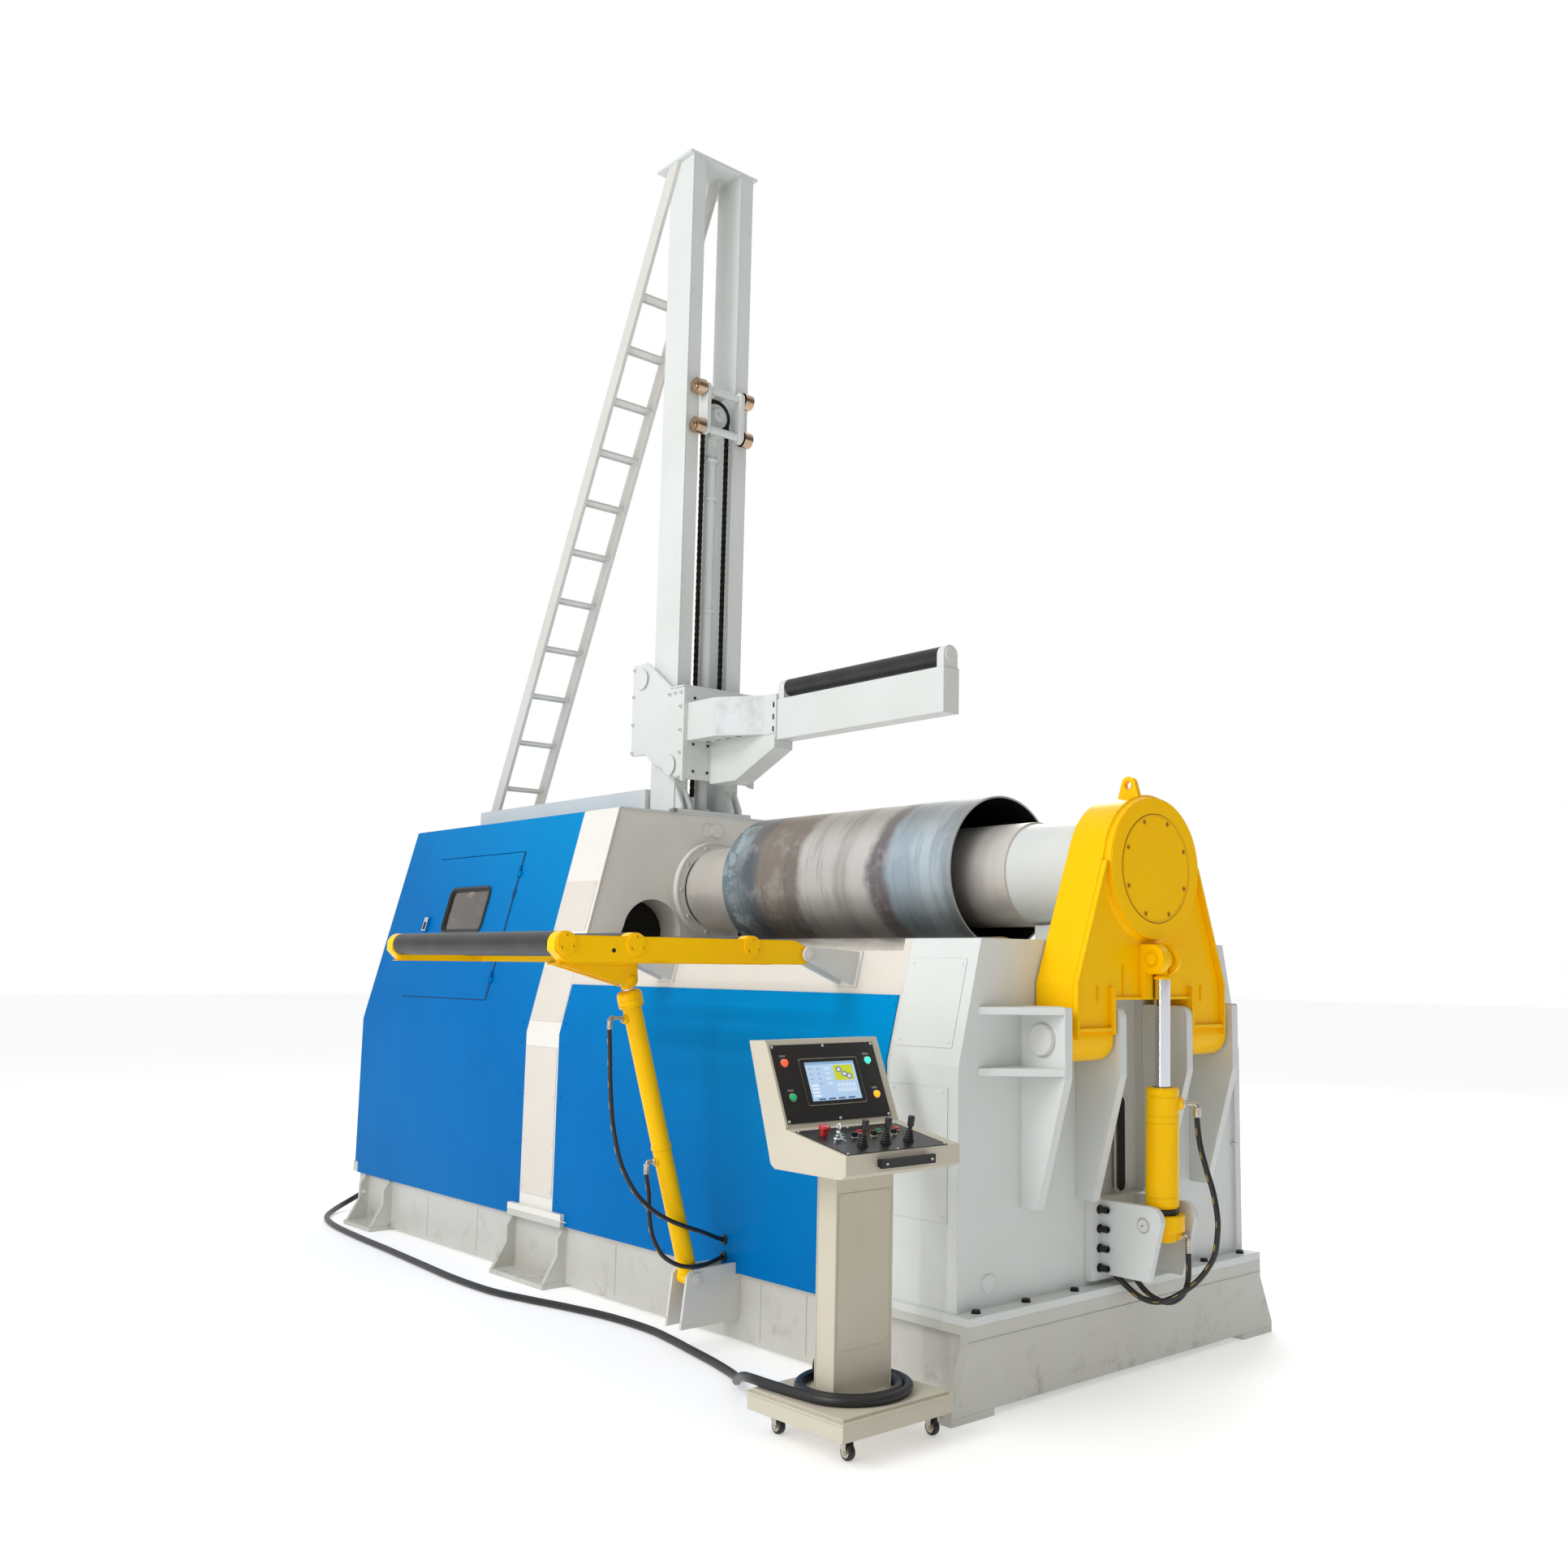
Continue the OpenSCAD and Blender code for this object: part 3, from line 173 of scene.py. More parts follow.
class Shader:
    def __init__(self, name, owner=None, last="Principled BSDF", place="Object"):
        self.material = owner or bpy.data.materials.new(name)
        self.material.use_nodes = True
        tree = self.material.node_tree
        self.nodes, self.links = tree.nodes, tree.links
        self.surface = self.nodes[last]
        self.place = self.node("ShaderNodeTexCoord", out=place)

    def node(self, kind, settings=None, sockets=None, out=0):
        made = self.nodes.new(kind)
        for key, value in (settings or {}).items():
            setattr(made, key, value)
        for key, value in (sockets or {}).items():
            self.feed(made.inputs[key], value)
        return Val(self, made.outputs[out])

    def feed(self, socket, value):
        if isinstance(value, Val):
            self.links.new(value.socket, socket)
        else:
            socket.default_value = value

    def surfaceSet(self, **values):
        for key, value in values.items():
            self.feed(self.surface.inputs[key.replace("_", " ")], value)

    def stretch(self, factors):
        return self.node("ShaderNodeVectorMath", {"operation": "MULTIPLY"},
                         {0: self.place, 1: factors})

    def noise(self, scale, detail=3.0, rough=0.5, vector=None):
        return self.node("ShaderNodeTexNoise", None, {
            "Vector": vector or self.place, "Scale": scale, "Detail": detail,
            "Roughness": rough})

    def part(self, axis, vector=None):
        return self.node("ShaderNodeSeparateXYZ", None, {0: vector or self.place}, out=axis)

    def mix(self, factor, first, second):
        return self.node("ShaderNodeMix", {"data_type": "RGBA"},
                         {0: factor, 6: first, 7: second}, out=2)

    def bump(self, height, strength, distance, edge=0.0):
        sockets = {"Height": height, "Strength": strength, "Distance": distance}
        if edge:
            sockets["Normal"] = self.node("ShaderNodeBevel", {"samples": 4}, {"Radius": edge})
        self.surfaceSet(Normal=self.node("ShaderNodeBump", None, sockets))


dirt = {"height": (0.02, 0.34), "dust": "8A8378", "chip": "3B3733"}


def enamel(name, tone, shade, rough=0.32, grain=0.00015, grime=0.0, edge=0.004, coat=0.15,
           shine=0.45, highlightTone=None):
    s = Shader(name)
    cloud = s.noise(1.7, 4.0, 0.6)
    fine = s.noise(26.0, 3.0, 0.6)
    base = s.mix(cloud.above(0.35, 0.7) * 0.55, linear(tone), linear(shade))
    if highlightTone:
        # Painted highlight: lighter toward the upper drop end, where the light falls
        rise = s.part("X") * 0.4 + s.part("Z")
        base = s.mix(rise.above(0.7, 2.4) * 0.75, base, linear(highlightTone))
    if grime:
        low = 1 - s.part("Z").above(*dirt["height"])
        spots = s.noise(9.0, 6.0, 0.7).above(0.52, 0.72) * low * grime
        base = s.mix(spots, base, linear(dirt["dust"]))
        chips = s.noise(34.0, 5.0, 0.7).above(0.69, 0.73) * low * min(1.0, grime * 1.6)
        base = s.mix(chips, base, linear(dirt["chip"]))
    s.surfaceSet(Base_Color=base, Roughness=rough + (fine - 0.5) * 0.12 + (cloud - 0.5) * 0.08,
                 Coat_Weight=coat, Coat_Roughness=0.12, Specular_IOR_Level=shine)
    s.bump(s.noise(150.0, 2.0, 0.5) + s.noise(12.0, 2.0, 0.5) * 3.0, 0.35, grain, edge)
    return s.material


def groundSteel(name, tone="CFC8BE", dark="A39B91", rough=0.22, metallic=0.8):
    s = Shader(name)
    rings = s.noise(1.0, 4.0, 0.7, s.stretch((420.0, 3.0, 3.0)))
    band = s.noise(1.0, 3.0, 0.6, s.stretch((14.0, 1.5, 1.5)))
    smear = s.noise(5.5, 6.0, 0.65).above(0.45, 0.7)
    base = s.mix(band.above(0.35, 0.75) * 0.3, linear(tone), linear(dark))
    base = s.mix(smear * 0.3, base, linear("DDD8D0"))
    s.surfaceSet(Base_Color=base, Metallic=metallic,
                 Roughness=rough + rings * 0.06 + smear * 0.06)
    s.bump(rings, 0.15, 0.00006, 0.003)
    return s.material


# Rolled plate: its axis, radii and ends in metres, and X where each colour band begins;
# crownLight and bellyShade are painted light and shade, inside a painted shade
scale = {
    "axisZ": 1.9563, "skin": (0.3325, 0.3335), "ends": (0.2275, 1.8225),
    "inside": "17191C", "edge": "B4B6B6", "streak": "6B655F", "patch": "D8D6D2",
    "crownLight": "94877A", "bellyShade": "4A4846", "flake": "AFC3CB",
    "bands": [(0.225, "7E9099"), (0.40, "6B747A"), (0.50, "948A80"), (0.70, "8B827A"),
              (0.80, "D2D0CC"), (1.08, "C2BEBA"), (1.18, "D6D4D0"), (1.32, "80797D"),
              (1.43, "A8BAC6"), (1.62, "BECED8"), (1.76, "9FABB3")]}


def millScale():
    s = Shader("millScale")
    x, y, z = s.part("X"), s.part("Y"), s.part("Z") - scale["axisZ"]
    outside = ((y * y + z * z) ** 0.5).above(*scale["skin"])
    cutEdge = 1 - x.between(*scale["ends"])
    cloud = s.noise(2.8, 7.0, 0.62)
    fine = s.noise(1.0, 5.0, 0.65, s.stretch((26.0, 2.2, 2.2)))
    wave = x + (cloud - 0.5) * 0.2 + (fine - 0.5) * 0.06
    base = linear(scale["bands"][0][1])
    for border, tone in scale["bands"][1:]:
        base = s.mix(wave.above(border - 0.035, border + 0.035), base, linear(tone))
    flakes = s.noise(4.6, 9.0, 0.75).above(0.53, 0.56) * (1 - wave.above(0.3, 0.42))
    # Painted light and shade: a lit tone over the top and a dark shade under the belly, beside
    # real streaks, patches and flakes
    for amount, tone in ((fine.above(0.5, 0.66) * 0.3, "streak"),
                         (s.noise(7.0, 8.0, 0.7).above(0.5, 0.6) * 0.22, "patch"),
                         (z.above(0.1, 0.3) * 0.5, "crownLight"),
                         ((1 - z.above(-0.3, 0.02)) * 0.45, "bellyShade"), (flakes * 0.85, "flake")):
        base = s.mix(amount, base, linear(scale[tone]))
    # Painted shade: the inside of the plate near black
    base = s.mix(outside, linear(scale["inside"]), base)
    base = s.mix(cutEdge, base, linear(scale["edge"]))
    s.surfaceSet(Base_Color=base, Metallic=0.35 * outside + 0.3,
                 Roughness=0.42 - flakes * 0.06 + fine * 0.1)
    s.bump(cloud + fine * 0.4 + flakes * 0.5, 0.3, 0.0005)
    return s.material


def metal(name, tone, rough=0.25, grain=0.0, metallic=1.0):
    s = Shader(name)
    fine = s.noise(60.0, 4.0, 0.6)
    base = s.mix(s.noise(14.0, 4.0, 0.6).above(0.4, 0.7) * 0.3, linear(tone), linear("6B655C"))
    s.surfaceSet(Base_Color=base, Metallic=metallic, Roughness=rough + (fine - 0.5) * 0.14)
    if grain:
        s.bump(fine, 0.4, grain)
    return s.material


def plain(name, tone, rough=0.5, grain=0.0, coat=0.0, spread=0.0):
    s = Shader(name)
    fine = s.noise(90.0, 3.0, 0.6)
    base = linear(tone)
    if spread:
        base = s.mix(s.noise(7.0, 5.0, 0.65).above(0.4, 0.7) * spread, base, linear("8C867B"))
    s.surfaceSet(Base_Color=base, Roughness=rough + (fine - 0.5) * 0.12, Coat_Weight=coat)
    if grain:
        s.bump(fine, 0.5, grain)
    return s.material


def lamp(name, tone, strength):
    s = Shader(name)
    s.surfaceSet(Base_Color=linear(tone), Roughness=0.15, Emission_Color=linear(tone),
                 Emission_Strength=strength)
    return s.material


def screenPicture():
    s = Shader("screenPicture")
    uv = s.node("ShaderNodeUVMap", {"uv_map": "face"})
    u, v = s.part("X", uv), s.part("Y", uv)
    picture = s.mix(v * 0.5, linear("AFCDEE"), linear("C4DDF4"))

    def patch(left, low, wide, high, tone, under, strength=1.0):
        inside = u.between(left, left + wide) * v.between(low, low + high)
        return s.mix(inside * strength, under, linear(tone))

    picture = patch(0.0, 0.93, 1.0, 0.07, "8FB2D8", picture)
    for row in range(4):
        for column in range(3):
            wide, tone = (0.1, "DCE9F8") if column == 2 else (0.06, "9DB4D6")
            picture = patch(0.05 + 0.16 * column, 0.80 - 0.13 * row, wide, 0.05, tone, picture,
                            0.9)
    # A plan of the rolls on its own field
    picture = patch(0.55, 0.5, 0.4, 0.4, "C9D42E", picture)
    for x, y in ((0.66, 0.78), (0.76, 0.66), (0.85, 0.60)):
        far = ((u - x) ** 2 + ((v - y) * 0.8) ** 2) ** 0.5
        picture = s.mix(1 - far.above(0.058, 0.062), picture, linear("5B6A86"))
        picture = s.mix(1 - far.above(0.038, 0.042), picture, linear("D4DAE6"))
    for column in range(5):
        for row in range(2):
            picture = patch(0.55 + 0.08 * column, 0.2 + 0.13 * row, 0.065, 0.1, "D3E3F6",
                            picture)
    for row in range(4):
        picture = patch(0.04, 0.1 + 0.09 * row, 0.14, 0.06, "E4EEFA", picture)
    for column in range(4):
        picture = patch(0.12 + 0.2 * column, 0.02, 0.14, 0.04, "42577A", picture)
    s.surfaceSet(Base_Color=(0.02, 0.02, 0.02, 1), Roughness=0.12, Emission_Color=picture,
                 Emission_Strength=0.95)
    return s.material


def windowPane():
    s = Shader("windowPane")
    # Painted reflection: brown streaks and glints of the hall seen in the glass
    streak = s.noise(1.0, 5.0, 0.7, s.stretch((6.0, 3.0, 14.0))).above(0.45, 0.75)
    glint = s.noise(9.0, 6.0, 0.7).above(0.6, 0.75)
    base = s.mix(streak * 0.6, linear("3C352E"), linear("665D53"))
    base = s.mix(glint * 0.5, base, linear("A79C8E"))
    s.surfaceSet(Base_Color=base, Roughness=0.08, Coat_Weight=0.8)
    return s.material


look = {}


def makeMaterials():
    soft = {"coat": 0.04, "shine": 0.3}
    look["white"] = enamel("whiteEnamel", "D9DDDB", "D1D4D0", 0.36, **soft)
    # Painted light: a lighter copy of the white paint for the drive end, which stands in the
    # machine's shade
    look["shadeWhite"] = enamel("shadeWhiteEnamel", "E8E6E0", "E0DDD6", 0.36, **soft)
    look["warmWhite"] = enamel("warmEnamel", "DCD6CD", "D5CEC3", 0.36, **soft)
    look["baseWhite"] = enamel("baseEnamel", "C8C8C1", "BCBBB2", 0.42, 0.0003, grime=0.55)
    # Painted shade: a darker copy of the white paint for parts in shade
    look["grey"] = enamel("shadeEnamel", "D4D3CE", "CAC8C2", 0.4)
    look["speckle"] = plain("speckledPaint", "DADFE1", 0.6, 0.0004, spread=0.3)
    look["cream"] = enamel("creamPowder", "C8C2B1", "BFB8A5", 0.5, 0.0004, edge=0.0025,
                           coat=0.0, shine=0.2)
    # Blue with a painted highlight toward the upper drop end
    look["blue"] = enamel("blueEnamel", "006EB6", "0066AC", 0.3, 0.00012, edge=0.003,
                          coat=0.0, shine=0.02, highlightTone="0092CE")
    look["yellow"] = enamel("yellowEnamel", "FFC800", "FFC000", 0.26, 0.0004, edge=0.006,
                            coat=0.0, shine=0.12)
    # Painted shade for the yoke cover's groove and bolt recesses
    look["groove"] = plain("paintedGrooveShade", "9A6A08", 0.7)
    look["steel"] = groundSteel("groundSteel")
    look["satin"] = groundSteel("satinSteel", "DEDAD3", "C4BFB8", 0.34, 0.5)
    look["chrome"] = groundSteel("hardChrome", "DDE0E6", "C4C8D0", 0.02, 1.0)
    look["shell"] = millScale()
    look["zinc"] = metal("zincSteel", "C4BEB2")
    look["bronze"] = metal("bronzeSteel", "C7A98C", 0.16)
    look["darkSteel"] = metal("darkSteel", "33302C", 0.42, 0.0003)
    look["grease"] = metal("greasedChain", "3A352D", 0.22, 0.0004)
    look["bolt"] = metal("blackBolt", "24262A", 0.38, 0.0002, 0.8)
    look["rubber"] = plain("hoseRubber", "1B1C1E", 0.42, 0.0003)
    look["mark"] = plain("hoseMark", "C9A83E", 0.6)
    look["roller"] = plain("rollerCoat", "1A1B1E", 0.42, 0.0006, spread=0.05)
    look["black"] = plain("blackPlastic", "151515", 0.4, 0.0002)
    look["panel"] = plain("blackPanel", "1C1A19", 0.36, 0.0001)
    look["gap"] = plain("shadowGap", "0A3C66", 0.8)
    # Painted shade for the insides of holes, slots and recesses
    look["hole"] = plain("paintedHoleShade", "1A1917", 0.9)
    look["red"] = plain("redCap", "C4161F", 0.3, coat=0.4)
    look["green"] = plain("greenCap", "1E7F4E", 0.3, coat=0.4)
    look["redLamp"] = lamp("redLamp", "FF3A20", 2.2)
    look["greenLamp"] = lamp("greenLamp", "1E9B62", 0.5)
    look["cyanLamp"] = lamp("cyanLamp", "3CC6A8", 1.4)
    look["amberLamp"] = lamp("amberLamp", "FF9A12", 1.3)
    look["screen"] = screenPicture()
    look["window"] = windowPane()


# The record's material that each finish belongs to
slotLooks = {
    "white_paint": ("white", "shadeWhite", "warmWhite", "baseWhite", "grey", "speckle"),
    "blue_paint": ("blue", "gap"), "cream_paint": ("cream",),
    "yellow_paint": ("yellow", "groove"), "chain_steel": ("darkSteel", "grease"),
    "chrome_plate": ("chrome", "zinc", "bronze"), "black_rubber": ("rubber", "mark"),
    "black_plastic": ("black", "panel", "bolt", "hole", "red", "green", "redLamp", "greenLamp",
                      "cyanLamp", "amberLamp"),
    "window_glass": ("screen",)}
slotOf = {finish: slot for slot, finishes in slotLooks.items() for finish in finishes}

cadLooks = {
    "baseWhite": ["base_front_beam", "base_rear_beam", "base_deck"],
    # Painted light and shade: grey is a darker copy of the white paint, shadeWhite a lighter one
    "grey": ["table_brackets", "tower_ladder"],
    "shadeWhite": ["drive_frame", "roll_ring"],
    "warmWhite": ["side_cladding"],
    "white": ["drop_end_frame", "pivot_brackets", "tilt_bracket", "top_beam",
              "tower_columns", "tower_top_plate", "tower_base", "lift_tube", "roll_collar",
              "carriage_plates", "carriage_frame", "arm_bracket", "top_arm", "crosshead"],
    "blue": ["drive_housing", "side_panels", "housing_door"],
    "yellow": ["yoke", "yoke_ears", "yoke_cover", "tilt_barrel", "table_beams",
               "table_crossbars", "table_lug", "table_barrel"],
    "steel": ["bottom_roll", "side_roll_rear", "side_roll_front"],
    "satin": ["top_roll"],
    "shell": ["rolled_shell"],
    "chrome": ["tilt_rod", "table_rod"],
    "bronze": ["crosshead_rollers"],
    "cream": ["desk_base_box", "desk_post", "desk_head"],
    "roller": ["support_roller_outer", "support_roller_middle", "support_roller_inner",
               "top_arm_roller"],
    "window": ["door_window"],
    "black": ["desk_controls", "desk_casters"],
    "darkSteel": ["chain_front", "chain_rear"],
    "rubber": ["cable_coil", "desk_cable", "tilt_hose_upper", "tilt_hose_lower",
               "table_hose_upper", "table_hose_lower"]}


def finishCad():
    for name, nodes in cadLooks.items():
        for node in nodes:
            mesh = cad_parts[node].data
            mesh.materials.clear()
            mesh.materials.append(look[name])


floorTone = {"tone": 0.78, "glow": 0.35, "half": 60}


def addFloor():
    h = floorTone["half"]
    mesh = bpy.data.meshes.new("floor")
    mesh.from_pydata([(-h, -h, 0), (h, -h, 0), (h, h, 0), (-h, h, 0)], [], [(0, 1, 2, 3)])
    floor = bpy.data.objects.new("floor", mesh)
    s = Shader("floor")
    s.surfaceSet(Base_Color=(*[floorTone["tone"]] * 3, 1), Roughness=0.7,
                 Emission_Color=(1, 1, 1, 1), Emission_Strength=floorTone["glow"])
    mesh.materials.append(s.material)
    bpy.context.scene.collection.objects.link(floor)


# Brightness of the surroundings toward four sides, overhead and below
roomLight = {"front": 0.48, "right": 0.19, "behind": 1.0, "left": 0.5, "above": 0.8,
             "below": 0.58}
# Place, aim, width, height and watts of each lamp
lamps = {"key": ((0.5, -9.0, 8.0), (0.5, 0, 1.4), 4.0, 4.0, 395),
         "side": ((11.0, -3.5, 6.0), (1.5, 0, 1.2), 3.0, 3.0, 30),
         "back": ((-4.0, 8.0, 8.0), (0, 0, 1.5), 5.0, 5.0, 350),
         "strip": ((1.0, -7.0, 3.8), (1.0, 0, 1.9), 8.0, 0.15, 55),
         "post": ((3.0, -7.0, 2.2), (2.6, 0, 1.4), 0.22, 3.6, 45)}


def addLight():
    world = bpy.data.worlds.new("world")
    bpy.context.scene.world = world
    s = Shader("world", world, "Background", "Generated")
    tone = (*[roomLight["left"]] * 3, 1)
    # Each side's brightness comes in where the view direction leans toward it
    for side, direction, low, high in (
            ("front", (0, -1, 0), 0.0, 0.9), ("right", (1, 0.15, 0), 0.1, 0.9),
            ("above", (0, 0, 1), 0.45, 0.95), ("below", (0, 0, -1), 0.02, 0.3),
            ("behind", (-0.72, 0.69, 0.12), 0.25, 0.6)):
        toward = s.node("ShaderNodeVectorMath", {"operation": "DOT_PRODUCT"},
                        {0: s.place, 1: Vector(direction).normalized()}, out="Value")
        tone = s.mix(toward.above(low, high), tone, (*[roomLight[side]] * 3, 1))
    s.surfaceSet(Color=tone)
    for name, (place, aim, wide, high, watts) in lamps.items():
        data = bpy.data.lights.new(name, "AREA")
        data.shape = "RECTANGLE"
        data.size, data.size_y, data.energy = wide, high, watts
        light = bpy.data.objects.new(name, data)
        light.location = place
        light.rotation_euler = (Vector(aim) - Vector(place)).to_track_quat("-Z", "Y").to_euler()
        bpy.context.scene.collection.objects.link(light)
    bpy.context.scene.view_settings.view_transform = "Standard"


class Shape:
    def __init__(self):
        self.bm = bmesh.new()

    def add(self, verts, faces, bevel=0.0, matrix=None, mat=0):
        part = bmesh.new()
        made = [part.verts.new(v) for v in verts]
        for face in faces:
            part.faces.new([made[i] for i in face])
        if bevel:
            edges = [e for e in part.edges if len(e.link_faces) == 2
                     and e.calc_face_angle(0) > 0.5]
            bmesh.ops.bevel(part, geom=edges, offset=bevel, segments=2,
                            affect="EDGES", profile=0.5, clamp_overlap=True)
        if matrix is not None:
            part.transform(matrix)
        for face in part.faces:
            face.material_index = mat
        bmesh.ops.recalc_face_normals(part, faces=part.faces)
        mesh = bpy.data.meshes.new("part")
        part.to_mesh(mesh)
        part.free()
        self.bm.from_mesh(mesh)
        bpy.data.meshes.remove(mesh)

    def box(self, low, high, bevel=1.0, matrix=None, mat=0):
        verts = [(x, y, z) for z in (low[2], high[2]) for y in (low[1], high[1])
                 for x in (low[0], high[0])]
        faces = [(0, 2, 3, 1), (4, 5, 7, 6), (0, 1, 5, 4), (2, 6, 7, 3), (0, 4, 6, 2),
                 (1, 3, 7, 5)]
        self.add(verts, faces, bevel, matrix, mat)

    def plate(self, outline, low, high, matrix=None, bevel=0.0, mat=0):
        # Outline in the local XY plane, thick along local Z
        n = len(outline)
        verts = [(x, y, z) for z in (low, high) for x, y in outline]
        faces = [tuple(range(n - 1, -1, -1)), tuple(range(n, 2 * n))]
        faces += [(i, (i + 1) % n, (i + 1) % n + n, i + n) for i in range(n)]
        self.add(verts, faces, bevel, matrix, mat)

    def lathe(self, matrix, profile, sides=32, mat=0, closed=False):
        # Profile as radius and height round local Z
        verts, rings = [], []
        for r, h in profile:
            spots = [(x, y, h) for x, y in around(sides, r)] if r > 0 else [(0, 0, h)]
            rings.append(list(range(len(verts), len(verts) + len(spots))))
            verts += spots
        faces = []
        for a, b in list(zip(rings, rings[1:])) + ([(rings[-1], rings[0])] if closed else []):
            for k in range(sides):
                n = (k + 1) % sides
                corners = [a[k % len(a)], a[n % len(a)], b[n % len(b)], b[k % len(b)]]
                faces.append(tuple(dict.fromkeys(corners)))
        self.add(verts, [f for f in faces if len(f) > 2], 0, matrix, mat)

    def rod(self, a, b, r, edge=1.0, sides=32, mat=0):
        a, b = Vector(a), Vector(b)
        h = (b - a).length
        self.lathe(along(a, b - a), [(0, 0), (r - edge, 0), (r, edge), (r, h - edge),
                                     (r - edge, h), (0, h)], sides, mat)

    def ring(self, a, b, inner, outer, edge=1.0, sides=48, mat=0):
        a, b = Vector(a), Vector(b)
        h = (b - a).length
        self.lathe(along(a, b - a), [
            (inner + edge, 0), (outer - edge, 0), (outer, edge), (outer, h - edge),
            (outer - edge, h), (inner + edge, h), (inner, h - edge), (inner, edge)],
            sides, mat, True)

    def tube(self, points, r, sides=10, mat=0, ripple=0.0):
        points = [Vector(p) for p in points]
        last = len(points) - 1
        verts, side = [], None
        for i, p in enumerate(points):
            t = (points[min(i + 1, last)] - points[max(i - 1, 0)]).normalized()
            if side is None:
                side = t.cross(zDir if abs(t.z) < 0.9 else xDir)
            # Carried along the path, so that the tube never twists
            side = (side - t * side.dot(t)).normalized()
            up = side.cross(t)
            size = r * (1 + ripple * (1 if i % 2 else -1))
            if ripple and i in (0, last):
                size *= 0.6
            verts += [p + side * u + up * v for u, v in around(sides, size)]
        faces = [(i * sides + k, i * sides + (k + 1) % sides, (i + 1) * sides + (k + 1) % sides,
                  (i + 1) * sides + k) for i in range(last) for k in range(sides)]
        faces += [tuple(range(sides)), tuple(last * sides + k for k in range(sides))]
        self.add(verts, faces, 0, None, mat)

    def weld(self, a, b, r=4.0):
        # Bead with a ripple every few millimetres
        a, b = Vector(a), Vector(b)
        steps = max(4, int((b - a).length / 7))
        self.tube([a.lerp(b, k / steps) for k in range(steps + 1)], r, 6, 0, 0.14)

    def bolt(self, at, direction, s, kind="hex", mat=0):
        base = along(at, direction, random.uniform(0, 1))
        if kind == "hex":
            self.lathe(base, [(1.05 * s, 0), (1.05 * s, 0.14 * s), (0.5 * s, 0.15 * s)], 20, mat)
            self.lathe(base, [(0.92 * s, 0.1 * s), (0.92 * s, 0.66 * s), (0.78 * s, 0.76 * s),
                              (0, 0.78 * s)], 6, mat)
        elif kind == "cap":
            self.lathe(base, [(0.78 * s, 0), (0.78 * s, 0.9 * s), (0.7 * s, s), (0.44 * s, s),
                              (0.42 * s, 0.45 * s), (0, 0.42 * s)], 16, mat)
        else:
            self.lathe(base, [(0.9 * s, 0), (0.86 * s, 0.2 * s), (0.6 * s, 0.42 * s),
                              (0.2 * s, 0.5 * s), (0.12 * s, 0.34 * s), (0, 0.34 * s)], 12, mat)

    def piece(self, name, looks, body, replaces=(), slot=None):
        looks = [looks] if isinstance(looks, str) else looks
        slot = slot or slotOf[looks[0]]
        self.bm.transform(Matrix.Scale(metre, 4))
        for edge in self.bm.edges:
            edge.smooth = len(edge.link_faces) == 2 and edge.calc_face_angle(0) < math.radians(32)
        for face in self.bm.faces:
            face.smooth = True
        mesh = bpy.data.meshes.new(name)
        self.bm.to_mesh(mesh)
        self.bm.free()
        for item in looks:
            mesh.materials.append(look[item])
        obj = bpy.data.objects.new(name, mesh)
        bpy.context.scene.collection.objects.link(obj)
        if body:
            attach(obj, body)
        if replaces:
            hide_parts(*replaces)
        return obj


def facePlate(shape, x0, x1, z0, z1, thick, mat=0):
    # Thin plate on the leaning front between two heights
    shape.box((x0, climb(z0), 0), (x1, climb(z1), thick), 0.8, leaningFace, mat)


def faceScrews(shape, places, out, size=6.5, mat=0):
    for x, z in places:
        normal = faceOut if z > body["crease"] else -yDir
        shape.bolt(Vector((x, faceY(z), z)) + normal * out, normal, size, "pan", mat)


def bothSides(build, name, looks):
    # The rear copy is the same shape mirrored in Y
    for tag in ("Front", "Rear"):
        shape = Shape()
        build(shape)
        if tag == "Rear":
            shape.bm.transform(Matrix.Scale(-1, 4, yDir))
            bmesh.ops.reverse_faces(shape.bm, faces=shape.bm.faces)
        shape.piece(name + tag, looks, "root")


# X and Z spans with the finish, 0 at the drive end and 1 at the drop end
covers = {
    "leaning": [(-662, -357, 1706, 1962, 0), (-662, -350, 1250, 1522, 0),
                (2078, 2374, 1254, 1578, 1)],
    "upright": [(-664, -357, 398, 1124, 0), (2072, 2372, 640, 1116, 1)],
    "screws": [[(-640, 1943), (-372, 1943), (-643, 1725), (-374, 1725), (-636, 1500),
                (-368, 1500), (-641, 1271), (-375, 1271)],
               [(2098, 1275), (2354, 1275), (2098, 1558), (2354, 1558)]],
    "lowScrews": [[(x, z) for z in (1106, 884, 656, 428) for x in (-646, -376)],
                  [(x, z) for z in (1099, 880, 662) for x in (2090, 2351)]]}
panels = {
    "edgeScrews": [(-722, z) for z in (1242, 1139, 881, 631, 390)],
    "screws": ([(-300, z) for z in (1425, 1244, 1139, 885, 633, 390)]
               + [(x, 1429) for x in (160, 627, 1098, 1559, 1990)]
               + [(x, 300) for x in (160, 627, 1559, 1990)]
               + [(2036, z) for z in (1400, 1139, 885, 633, 390)])}


